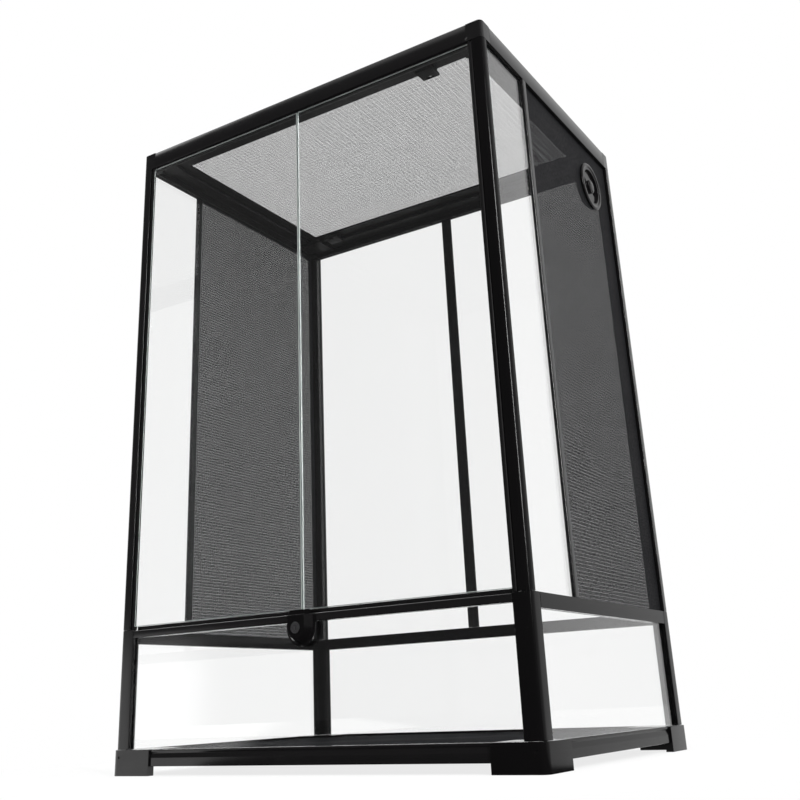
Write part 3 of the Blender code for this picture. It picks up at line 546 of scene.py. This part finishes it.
def solid(name, points, faces, material, smooth=True):
    """Closed surface with all its faces turned outwards."""
    thing = surface(name, points, faces, material, smooth)
    shape = bmesh.new()
    shape.from_mesh(thing.data)
    bmesh.ops.recalc_face_normals(shape, faces=shape.faces)
    shape.to_mesh(thing.data)
    shape.free()
    return thing


def stands_for(thing, node):
    """The piece replaces a node, moves with its body and takes the node's material slot."""
    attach(thing, nodes[node]["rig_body"])
    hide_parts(node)
    return thing


def bar(name, outline, low, high, to_world, node, material):
    """A section carried from low to high, put in its place, standing for a node."""
    rings = carried(outline, low, high, to_world)
    thing = solid(name, rings, capped_faces(4, len(outline)), material)
    return stands_for(thing, node)


print("points on each rounded corner:", CORNER_STEPS + 1)

# %% [markdown]
# ## The posts
#
# Each corner of the case has a stout post up to the middle frame and a slimmer one above it. Both
# have a rounded outer corner, and grooves that take the edges of the panes. The rounded corner
# is what catches the strip lamp, so it gets eight steps instead of a plain chamfer. The stout
# posts are angles, open at their inner corner, as a look through the tub shows. The sections
# are written once in (u, v), the distances inwards from the two outer faces, and the corner's
# signs put them at each of the four corners.

# %% The posts
HALF_WIDTH, HALF_DEPTH = 0.305, 0.2285
NEAR, FAR = 0.0042, 0.0088
BITE = 0.006
SOFT = 0.0010
ROUND = 0.0076
LEG = 0.012
STOUT = (0.0234, 0.0215)
SLIM = (0.016, 0.0115)
WIDE = (0.021, 0.016)
CORNERS = {
    "front_left": (-1, -1),
    "front_right": (1, -1),
    "back_right": (1, 1),
    "back_left": (-1, 1),
}


def post_section(face, side, face_groove, wall=None):
    """Post seen from above: rounded outer corner, and grooves in its inner faces.

    With a wall it is an angle with legs of that thickness, open at its inner corner.
    """
    inner = [(face, NEAR), (face - BITE, NEAR), (face - BITE, FAR), (face, FAR)]
    legs = [(face, side)] if wall is None else [(face, wall), (wall, wall), (wall, side)]
    return section([
        (0.0, 0.0, ROUND),
        (face, 0.0, SOFT),
        *(inner if face_groove else []),
        *legs,
        (FAR, side),
        (FAR, side - BITE),
        (NEAR, side - BITE),
        (NEAR, side),
        (0.0, side, SOFT),
    ])


def corner_place(corner):
    """Function that puts (u, v, z) points at a corner of the case."""
    sign_x, sign_y = CORNERS[corner]
    return lambda points: np.stack((
        sign_x * (HALF_WIDTH - points[..., 0]),
        sign_y * (HALF_DEPTH - points[..., 1]),
        points[..., 2],
    ), axis=-1)


for corner in CORNERS:
    to_world = corner_place(corner)
    node = f"lower_post_{corner}"
    low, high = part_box(node)
    outline = post_section(*STOUT, True, LEG)
    # Painted shade: the darker copy of the satin on every corner but the front left one.
    finish = SATIN if corner == "front_left" else SHADED_SATIN
    bar(f"stout_post_{corner}", outline, low.z, high.z, to_world, node, finish)
    node = f"upper_post_{corner}"
    low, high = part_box(node)
    outline = post_section(*SLIM, False) if "front" in corner else post_section(*WIDE, True)
    # Painted shade: the darker copy of the satin on the front right slim post.
    finish = SHADED_SATIN if corner == "front_right" else SATIN
    bar(f"slim_post_{corner}", outline, low.z, high.z, to_world, node, finish)
print("posts: 8, points in the last section:", len(outline))

# %% [markdown]
# ## The rails
#
# Rails run between the corners, so their sections are drawn as (depth inwards, height) and
# carried along the side of the case. The bottom rail has a shallow flute along its face, whose
# long soft lower lip mirrors no lamp. The middle one caps the tub's pane from above, and at the
# front it has a sill with a raised stop behind the doors. The soft edges of the sill are what
# draw its two thin bright lines. The grooves lie at the same two depths, near and far, in all.

# %% The rails
SIDES = ("front", "right", "back", "left")


def side_place(side):
    """Function that puts (depth, height, along) points on a side of the case."""
    turn = SIDES.index(side) * math.pi / 2
    reach = HALF_WIDTH if side in ("left", "right") else HALF_DEPTH
    cos, sin = round(math.cos(turn)), round(math.sin(turn))
    return lambda points: np.stack((
        cos * points[..., 2] + sin * (reach - points[..., 0]),
        sin * points[..., 2] - cos * (reach - points[..., 0]),
        points[..., 1],
    ), axis=-1)


def along(side, node):
    """Ends of a node along its side, in the side's own direction."""
    low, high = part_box(node)
    axis = 1 if side in ("left", "right") else 0
    sign = 1 if side in ("front", "right") else -1
    return sorted((sign * low[axis], sign * high[axis]))


BASE_SECTION = section([
    (0.0, 0.011, SOFT),
    (0.0, 0.0212, 0.0004),
    (0.0012, 0.0262, 0.0004),
    (0.0012, 0.0270, 0.0004),
    (0.0, 0.0282, 0.0004),
    (0.0, 0.031, SOFT),
    (NEAR, 0.031),
    (NEAR, 0.025),
    (FAR, 0.025),
    (FAR, 0.031),
    (0.0110, 0.031),
    (0.0110, 0.0237),
    (0.0240, 0.0237, 0.0006),
    (0.0240, 0.0200, 0.0006),
    (0.003, 0.0200),
    (0.003, 0.011),
])
MIDDLE_SECTION = section([
    (0.0, 0.163, SOFT),
    (0.0, 0.180, SOFT),
    (NEAR, 0.180),
    (NEAR, 0.174),
    (FAR, 0.174),
    (FAR, 0.180),
    (0.012, 0.180, 0.0006),
    (0.012, 0.163, 0.0006),
    (FAR, 0.163),
    (FAR, 0.169),
    (NEAR, 0.169),
    (NEAR, 0.163),
])
SILL_SECTION = section([
    (0.0, 0.1695, SOFT),
    (0.0, 0.179, 0.0016),
    (0.0066, 0.179, 0.0004),
    (0.0066, 0.1845, 0.0014),
    (0.012, 0.1845, 0.0014),
    (0.012, 0.1695),
    (FAR, 0.1695),
    (FAR, 0.1745),
    (NEAR, 0.1745),
    (NEAR, 0.1695),
])

for side in SIDES:
    node = f"base_rail_{side}"
    # Painted shade: the darker copy of the satin on the rails of the sides and the back.
    finish = SATIN if side == "front" else SHADED_SATIN
    bar(f"bottom_moulding_{side}", BASE_SECTION, *along(side, node), side_place(side), node, finish)
    node = f"mid_rail_{side}"
    outline = SILL_SECTION if side == "front" else MIDDLE_SECTION
    bar(f"middle_moulding_{side}", outline, *along(side, node), side_place(side), node, finish)
low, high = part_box("mid_rail_front")
print("rails: 8, length of the front sill in mm:", round(1000 * (high.x - low.x)))

# %% [markdown]
# ## The dividers
#
# An upright bar parts glass from mesh on each side, and a third one parts the two back panes. In
# section they are a T: the flange laps over the panes and the web stands between them. The side
# ones have the flange outside, and the back one has it inside.

# %% The dividers
HALF_WEB = 0.0025
BACK_DEPTHS = (0.0115, FAR, NEAR, SOFT)
SIDE_DEPTHS = (0.0, NEAR, FAR, 0.0024)


def divider_section(middle, half, flange, lap, end, soft):
    """T with its flange from the depth flange to lap, and its web from there to end."""
    return section([
        (flange, middle - half, soft),
        (flange, middle + half, soft),
        (lap, middle + half),
        (lap, middle + HALF_WEB),
        (end, middle + HALF_WEB),
        (end, middle - HALF_WEB),
        (lap, middle - HALF_WEB),
        (lap, middle - half),
    ])


def upright_place(side):
    """Function that puts (depth, along, height) points on a side of the case."""
    place = side_place(side)
    return lambda points: place(points[..., (0, 2, 1)])


for side in ("left", "right", "back"):
    node = "back_divider" if side == "back" else f"side_divider_{side}"
    start, stop = along(side, node)
    low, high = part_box(node)
    depths = BACK_DEPTHS if side == "back" else SIDE_DEPTHS
    outline = divider_section((start + stop) / 2, (stop - start) / 2, *depths)
    bar(f"upright_{side}", outline, low.z, high.z, upright_place(side), node, SATIN)
    print("divider", side, "width in mm:", round(1000 * (stop - start), 1))

# %% [markdown]
# ## Moulded pieces
#
# Feet, top corners, the lid's frame, its clips, the lock and the cable port are moulded, with
# pockets and slots that no single section has. Their solids are right already, but a solid from
# the drawing has knife-sharp edges, and real plastic never has. So each gets a copy whose loose
# triangles are merged, whose flat faces are made whole again, and whose edges a Bevel rounds by
# a fraction of a millimetre. These small rounds catch the light along every edge.

# %% Moulded pieces
PER_METRE = 1e6
FLAT_WITHIN = math.radians(0.5)
BEVEL_FROM = math.radians(38)
# Painted shade: faces whose normal points further down than this take the duller black.
SHADED_BELOW = -0.7


def merged(node):
    """Points and triangles of a node, with equal points made one.

    Points are compared in whole micrometres, PER_METRE of them in a metre. Each triangle then
    takes the number of its merged points, and one with the same point twice is dropped.
    """
    mesh = nodes[node].data
    points = np.empty(3 * len(mesh.vertices), np.float32)
    corners = np.empty(len(mesh.loops), np.int32)
    mesh.vertices.foreach_get("co", points)
    mesh.loops.foreach_get("vertex_index", corners)
    rounded = np.round(points.reshape(-1, 3) * PER_METRE)
    whole, number = np.unique(rounded, axis=0, return_inverse=True)
    triangles = number.reshape(-1)[corners].reshape(-1, 3)
    distinct = (triangles != np.roll(triangles, 1, axis=1)).all(axis=1)
    return whole / PER_METRE, triangles[distinct]


def moulded(name, node, material, round_off=0.0004, under=None):
    """Copy of a node with its flat faces whole and its edges rounded.

    Faces that look down by more than 45 degrees take the material under, if one is given: a duller
    black that paints shade on the undersides.
    """
    points, triangles = merged(node)
    thing = surface(name, points, triangles.tolist(), material, smooth=False)
    shape = bmesh.new()
    shape.from_mesh(thing.data)
    bmesh.ops.dissolve_limit(
        shape, angle_limit=FLAT_WITHIN, verts=shape.verts, edges=shape.edges
    )
    shape.to_mesh(thing.data)
    shape.free()
    if under is not None:
        thing.data.materials.append(under)
        normals = np.empty(3 * len(thing.data.polygons), np.float32)
        thing.data.polygons.foreach_get("normal", normals)
        shaded_underside = (normals.reshape(-1, 3)[:, 2] < SHADED_BELOW).astype(np.int32)
        thing.data.polygons.foreach_set("material_index", shaded_underside)
    thing.data.shade_smooth()
    thing.data.set_sharp_from_angle(angle=SHARP_FROM)
    soft = thing.modifiers.new("soft_edges", "BEVEL")
    soft.width = round_off
    soft.segments = 2
    soft.limit_method = "ANGLE"
    soft.angle_limit = BEVEL_FROM
    soft.use_clamp_overlap = True
    soft.harden_normals = True
    return stands_for(thing, node)


for corner in CORNERS:
    # Painted shade: the darker copy of the satin on every foot but the front left one.
    finish = SATIN if corner == "front_left" else SHADED_SATIN
    moulded(f"skirt_{corner}", f"foot_{corner}", finish, 0.0005)
    # Painted shade: the downward faces of the top corners take the duller black.
    moulded(f"cap_{corner}", f"top_corner_{corner}", SATIN, under=MATTE_AND_SHADE)
for side in SIDES:
    # Painted shade: the downward faces of the fascias take the duller black.
    moulded(f"fascia_{side}", f"top_rail_{side}", SATIN, 0.0003, under=MATTE_AND_SHADE)
moulded("lid_border", "lid_frame", MATTE_AND_SHADE)
moulded("clip_front", "lid_clip_front", MATTE_AND_SHADE, 0.0003)
moulded("clip_back", "lid_clip_back", MATTE_AND_SHADE, 0.0003)
# Painted shade: the darker copy of the satin on the lock.
moulded("lock_housing", "lock_body", SHADED_SATIN, 0.0006)
moulded("lock_slider", "lock_latch", SHADED_SATIN, 0.0003)
for side in ("left", "right"):
    moulded(f"door_bead_{side}", f"door_hinge_{side}", MATTE_AND_SHADE, 0.0002)

# %% [markdown]
# ## The hinge collars
#
# The doors turn on pins, and below each bead the solids leave a small gap for the fit. A bright
# dot would show there, where the real case is black, so a short collar covers the pin. It could be
# a part of the bead, but as a piece of its own it is one formula: a circle carried straight up
# like a bar. It rides on the door, and so it turns with it.

# %% The hinge collars
HINGE_X, HINGE_Y = 0.2847, -0.2245
COLLAR_RADIUS = 0.0037
COLLAR_HEIGHTS = (0.1803, 0.1819)
COLLAR_TURNS = 32


def collar(side):
    """Short round collar under a door's bead: points (X + r cos a, Y + r sin a) at four levels."""
    centre = (HINGE_X if side == "right" else -HINGE_X, HINGE_Y, 0.0)
    angle = np.linspace(0.0, 2 * np.pi, COLLAR_TURNS, endpoint=False)
    circle = COLLAR_RADIUS * np.column_stack((np.cos(angle), np.sin(angle)))
    rings = carried(circle, *COLLAR_HEIGHTS, lambda points: points + centre)
    thing = solid(f"hinge_collar_{side}", rings, capped_faces(4, COLLAR_TURNS), MATTE_AND_SHADE)
    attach(thing, nodes[f"door_hinge_{side}"]["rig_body"])
    return thing


for side in ("left", "right"):
    print("collar:", collar(side).name)

# %% [markdown]
# ## The fine mesh
#
# The screens are a fine black metal cloth, with about 700 threads on a metre. It could be a
# transparent picture of a mesh, but that has no depth and slides at a low angle. Here each
# thread is a slim flat bar of its own, and two layers of them cross, a few faces for each
# thread, so that a whole screen stays under ten thousand faces. The loom's comb holds the threads
# in small groups, with a slightly wider gap to the next group, and that draws fine lines in the
# cloth.

# %% Threads
PITCH = 0.00145
SIDE_THREAD = (0.00098, 0.000045)
LID_THREAD = (0.00036, 0.00010)
SIDE_COMB = ((3, 0.04), (3, 0.11))
LID_COMB = ((5, 0.12), (5, 0.07))


def thread_places(low, high, comb):
    """Places of threads about one pitch apart, drawn together in groups.

    With n threads in a group, thread i lies i + 0.5 - draw * (i modulo n - (n - 1) / 2) steps
    from the edge.
    """
    group, draw = comb
    count = round((high - low) / PITCH)
    order = np.arange(count)
    drawn = draw * (order % group - (group - 1) / 2)
    return low + (order + 0.5 - drawn) * (high - low) / count


def threads(places, start, stop, level, width, thick):
    """Slim bars: corner k of bar i is (places_i ± width/2, start_i or stop_i, level ± thick/2).

    The eight corners of all bars come from one array of signs, times the half sizes.
    """
    signs = np.array([(a, b, c) for a in (-1, 1) for b in (-1, 1) for c in (-1, 1)], float)
    middle = np.stack((places, (start + stop) / 2, np.full_like(places, level)), axis=-1)
    half = np.stack((
        np.full_like(places, width / 2), (stop - start) / 2, np.full_like(places, thick / 2)
    ), axis=-1)
    points = middle[:, None] + signs[None] * half[:, None]
    sides = np.array([
        (0, 1, 3, 2), (4, 6, 7, 5), (0, 4, 5, 1), (2, 3, 7, 6), (0, 2, 6, 4), (1, 5, 7, 3)
    ])
    faces = sides[None] + 8 * np.arange(len(places))[:, None, None]
    return points.reshape(-1, 3), faces.reshape(-1, 4)


def cloth(a_range, b_range, level, thread, combs, hole=None):
    """Two crossing layers of threads in a rectangle, with a round hole if one is given.

    A thread at distance d from the middle of a hole of radius r is cut where it meets the
    circle, at sqrt(r**2 - d**2) on either side of the middle.
    """
    points, faces, count = [], [], 0
    for swap, (across, run) in enumerate(((a_range, b_range), (b_range, a_range))):
        places = thread_places(*across, combs[swap])
        start, stop = np.full_like(places, run[0]), np.full_like(places, run[1])
        if hole is not None:
            middle_across, middle_run = hole[swap], hole[1 - swap]
            off = np.abs(places - middle_across)
            cut = off < hole[2]
            reach = np.sqrt(np.maximum(hole[2] ** 2 - off**2, 0.0))
            places = np.concatenate((places, places[cut]))
            start = np.concatenate((start, (middle_run + reach)[cut]))
            stop = np.concatenate((np.where(cut, middle_run - reach, stop), stop[cut]))
        depth = level + (swap - 0.5) * thread[1] * 1.1
        some, corners = threads(places, start, stop, depth, *thread)
        points.append(some[:, (1, 0, 2)] if swap else some)
        faces.append(corners + count)
        count += len(some)
    return np.concatenate(points), np.concatenate(faces)


def thread_finish():
    """Dull black of the threads, a little paler where they are worn."""
    material, tree, output, place = new_material("black_thread")
    shader = add(tree, "ShaderNodeBsdfPrincipled", IOR=1.06)
    cloudy = noise(tree, place, 14.0, 5.0, 0.6)
    tint = mixed(tree, (cloudy, 0), (0.009, 0.009, 0.010), (0.019, 0.019, 0.020))
    worn = noise(tree, place, 320.0, 2.0)
    gloss = remap(tree, (worn, 0), 0.3, 0.7, 0.38, 0.60)
    link(
        tree,
        (tint, 2), (shader, "Base Color"),
        gloss, (shader, "Roughness"),
        (shader, 0), (output, "Surface"),
    )
    return material


THREADS = thread_finish()

# %% [markdown]
# ## The three screens
#
# Each cloth is made flat, as long and wide as its node, and then put in its place. The right one
# gets a round hole, where the cable port clamps it. The side cloths have broad threads and look
# dark from everywhere, while those of the lid are slim and let most of the light through.

# %% The three screens
SCREEN_DEPTH = 0.0057
PORT_HOLE = 0.0309
PORT_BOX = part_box("port_nut")
PORT_Y, PORT_Z = ((PORT_BOX[0][k] + PORT_BOX[1][k]) / 2 for k in (1, 2))


def screen(name, points, faces, node):
    """One screen of threads that stands for a node."""
    thing = solid(name, points, faces.tolist(), THREADS, smooth=False)
    print(name, "threads:", len(faces) // 6)
    return stands_for(thing, node)


for side in ("left", "right"):
    node = f"side_screen_{side}"
    low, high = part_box(node)
    sign = 1 if side == "right" else -1
    points, faces = cloth(
        (low.y, high.y), (low.z, high.z), SCREEN_DEPTH, SIDE_THREAD, SIDE_COMB,
        (PORT_Y, PORT_Z, PORT_HOLE) if side == "right" else None,
    )
    placed = np.stack((sign * (HALF_WIDTH - points[:, 2]), points[:, 0], points[:, 1]), axis=-1)
    screen(f"fine_screen_{side}", placed, faces, node)
low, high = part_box("lid_screen")
middle_z = (low.z + high.z) / 2
points, faces = cloth((low.x, high.x), (low.y, high.y), middle_z, LID_THREAD, LID_COMB)
screen("fine_screen_lid", points, faces, "lid_screen")

# %% [markdown]
# ## The doors and the other panes
#
# The doors have no frame, so their ground edges show: where the two meet there is a thin
# green line. A door is one rectangle carried through its thickness in four rings, the first and
# last a little smaller, which gives the ground edge its bevels. The other panes sit with their
# edges in grooves, so the solids of the drawing only need the glass itself.

# %% Doors and panes
GROUND = 0.0005


def rectangle(a_range, b_range, shrink):
    """Corners of a rectangle, smaller all round by shrink."""
    a0, a1 = a_range[0] + shrink, a_range[1] - shrink
    b0, b1 = b_range[0] + shrink, b_range[1] - shrink
    return np.array(((a0, b0), (a1, b0), (a1, b1), (a0, b1)))


for side in ("left", "right"):
    low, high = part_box(f"door_glass_{side}")
    levels = (low.y, low.y + GROUND, high.y - GROUND, high.y)
    rings = [rectangle((low.x, high.x), (low.z, high.z), cut) for cut in (GROUND, 0.0, 0.0, GROUND)]
    points = np.stack([
        np.column_stack((ring[:, 0], np.full(4, level), ring[:, 1]))
        for ring, level in zip(rings, levels)
    ])
    door = solid(f"door_pane_{side}", points, capped_faces(4, 4), GLASS, smooth=False)
    door.data.materials.append(EDGE)
    door.data.polygons.foreach_set("material_index", np.array([1] * 12 + [0] * 2, np.int32))
    stands_for(door, f"door_glass_{side}")
    print("door", side, "in mm:", [round(1000 * v, 1) for v in high - low])

PANES = [name for name in nodes if "glass" in name and not name.startswith("door")]
for name in PANES:
    nodes[name].material_slots[0].material = GLASS
print("panes in grooves:", len(PANES))

# %% [markdown]
# ## The floor panel
#
# The panel under the tub is a dark smooth sheet that reflects a little. Its gloss changes slowly
# from the film it was pressed under, and it has a faint fine grain.

# %% The floor panel
panel, tree, output, place = new_material("dark_panel")
shader = add(tree, "ShaderNodeBsdfPrincipled", IOR=1.03, Specular_IOR_Level=0.08)
slow = noise(tree, place, 7.0, 5.0, 0.6)
tint = mixed(tree, (slow, 0), (0.008, 0.008, 0.009), (0.017, 0.017, 0.019))
gloss = remap(tree, (slow, 0), 0.3, 0.7, 0.45, 0.60)
grain = noise(tree, place, 1100.0, 2.0)
bumps = relief(tree, (grain, 0), 0.00005, 0.3)
link(
    tree,
    (tint, 2), (shader, "Base Color"),
    gloss, (shader, "Roughness"),
    (bumps, 0), (shader, "Normal"),
    (shader, 0), (output, "Surface"),
)
nodes["floor_panel"].material_slots[0].material = panel
print("floor panel finish:", panel.name)

# %% [markdown]
# ## The key
#
# The key cylinder's face is dark nickel, turned on a lathe, so its fine scratches run round the
# middle. Rings from the distance to the key's own axis do that.

# %% The key
KEY_AXIS = Vector((0.0, 0.0, 0.1627))
SCRATCHES = 5200.0
nickel, tree, output, place = new_material("dark_nickel")
shader = add(tree, "ShaderNodeBsdfPrincipled", Metallic=1.0)
shift = add(tree, "ShaderNodeVectorMath", operation="SUBTRACT")
shift.inputs[1].default_value = KEY_AXIS
flat = add(tree, "ShaderNodeVectorMath", operation="MULTIPLY")
flat.inputs[1].default_value = (1.0, 0.0, 1.0)
radius = add(tree, "ShaderNodeVectorMath", operation="LENGTH")
rings = add(tree, "ShaderNodeTexNoise", Scale=SCRATCHES, Detail=2.0)
rings.noise_dimensions = "1D"
tint = mixed(tree, (rings, 0), (0.05, 0.05, 0.052), (0.16, 0.16, 0.165))
gloss = remap(tree, (rings, 0), 0.3, 0.7, 0.22, 0.42)
link(
    tree,
    (place, "Object"), (shift, 0),
    (shift, 0), (flat, 0),
    (flat, 0), (radius, 0),
    (radius, "Value"), (rings, "W"),
    (tint, 2), (shader, "Base Color"),
    gloss, (shader, "Roughness"),
    (shader, 0), (output, "Surface"),
)
moulded("key_face", "lock_cylinder", nickel, 0.0002)

# %% [markdown]
# ## The cable port
#
# The port is glossier than the frame. A domed rim runs round its flange, so some part of it always
# mirrors a lamp, and a round cap with four finger grooves turns the cover. Both are turned shapes:
# a profile in (radius, height) is carried round the port's axis. For the cap the radius also
# swings with the angle, which makes the grooves.

# %% The cable port
PORT_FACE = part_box("port_body")[1].x
DISC_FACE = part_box("port_disc")[1].x
TURNS = 96
RIM_MIDDLE, RIM_HALF, RIM_HEIGHT = 0.0346, 0.0034, 0.0013
CAP_RADIUS, CAP_LEAST, CAP_HEIGHT = 0.0104, 0.0004, 0.0016
FINGERS, FINGER_DEPTH = 4, 0.16


def turned(name, radius, height, face, node, ring=False):
    """Closed surface round the port's axis from arrays of radius and height by (row, angle).

    Point (i, j) is (face + height_ij, Y0 + radius_ij * cos(a_j), Z0 + radius_ij * sin(a_j)).
    A ring joins its last row to its first, and any other piece is closed by two flat faces.
    """
    angle = np.linspace(0.0, 2 * np.pi, TURNS, endpoint=False)
    points = np.stack(np.broadcast_arrays(
        face + height, PORT_Y + radius * np.cos(angle), PORT_Z + radius * np.sin(angle)
    ), axis=-1)
    rows = len(points)
    if ring:
        first = np.arange(TURNS)
        last = first + (rows - 1) * TURNS
        faces = ring_faces(rows, TURNS).tolist()
        faces += np.stack((last, np.roll(last, -1), np.roll(first, -1), first), 1).tolist()
    else:
        faces = capped_faces(rows, TURNS)
    thing = solid(name, points, faces, GLOSS)
    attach(thing, nodes[node]["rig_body"])
    return thing


sweep = np.linspace(0.0, np.pi, 15)[:, None]
turned(
    "port_rim",
    np.repeat(RIM_MIDDLE - RIM_HALF * np.cos(sweep), TURNS, axis=1),
    np.repeat(RIM_HEIGHT * np.sin(sweep), TURNS, axis=1),
    PORT_FACE, "port_body", ring=True,
)
sweep = np.linspace(0.0, np.pi / 2, 9)[:, None]
angle = np.linspace(0.0, 2 * np.pi, TURNS, endpoint=False)[None]
grooves = np.maximum(np.cos(FINGERS * angle), 0.0) ** 2 * np.cos(sweep)
turned(
    "port_turning_cap",
    np.maximum(CAP_RADIUS * np.cos(sweep) * (1.0 - FINGER_DEPTH * grooves), CAP_LEAST),
    np.repeat(CAP_HEIGHT * np.sin(sweep), TURNS, axis=1),
    DISC_FACE, "port_disc",
)
moulded("port_flange", "port_body", GLOSS, 0.0004)
moulded("port_cover_disc", "port_disc", GLOSS, 0.0003)
moulded("port_axle", "port_pivot", SATIN, 0.0002)
moulded("port_ring_nut", "port_nut", SATIN, 0.0003)
rim_across = 2 * (RIM_MIDDLE + RIM_HALF)
print("rim across in mm:", round(1000 * rim_across), "face at", round(1000 * PORT_FACE, 2))

# %% [markdown]
# ## The end
#
# The dressed case has to stay inside the box of the imported model. Colours go out as they
# are written, without a film look.

# %% The end
bpy.context.scene.view_settings.view_transform = "Standard"
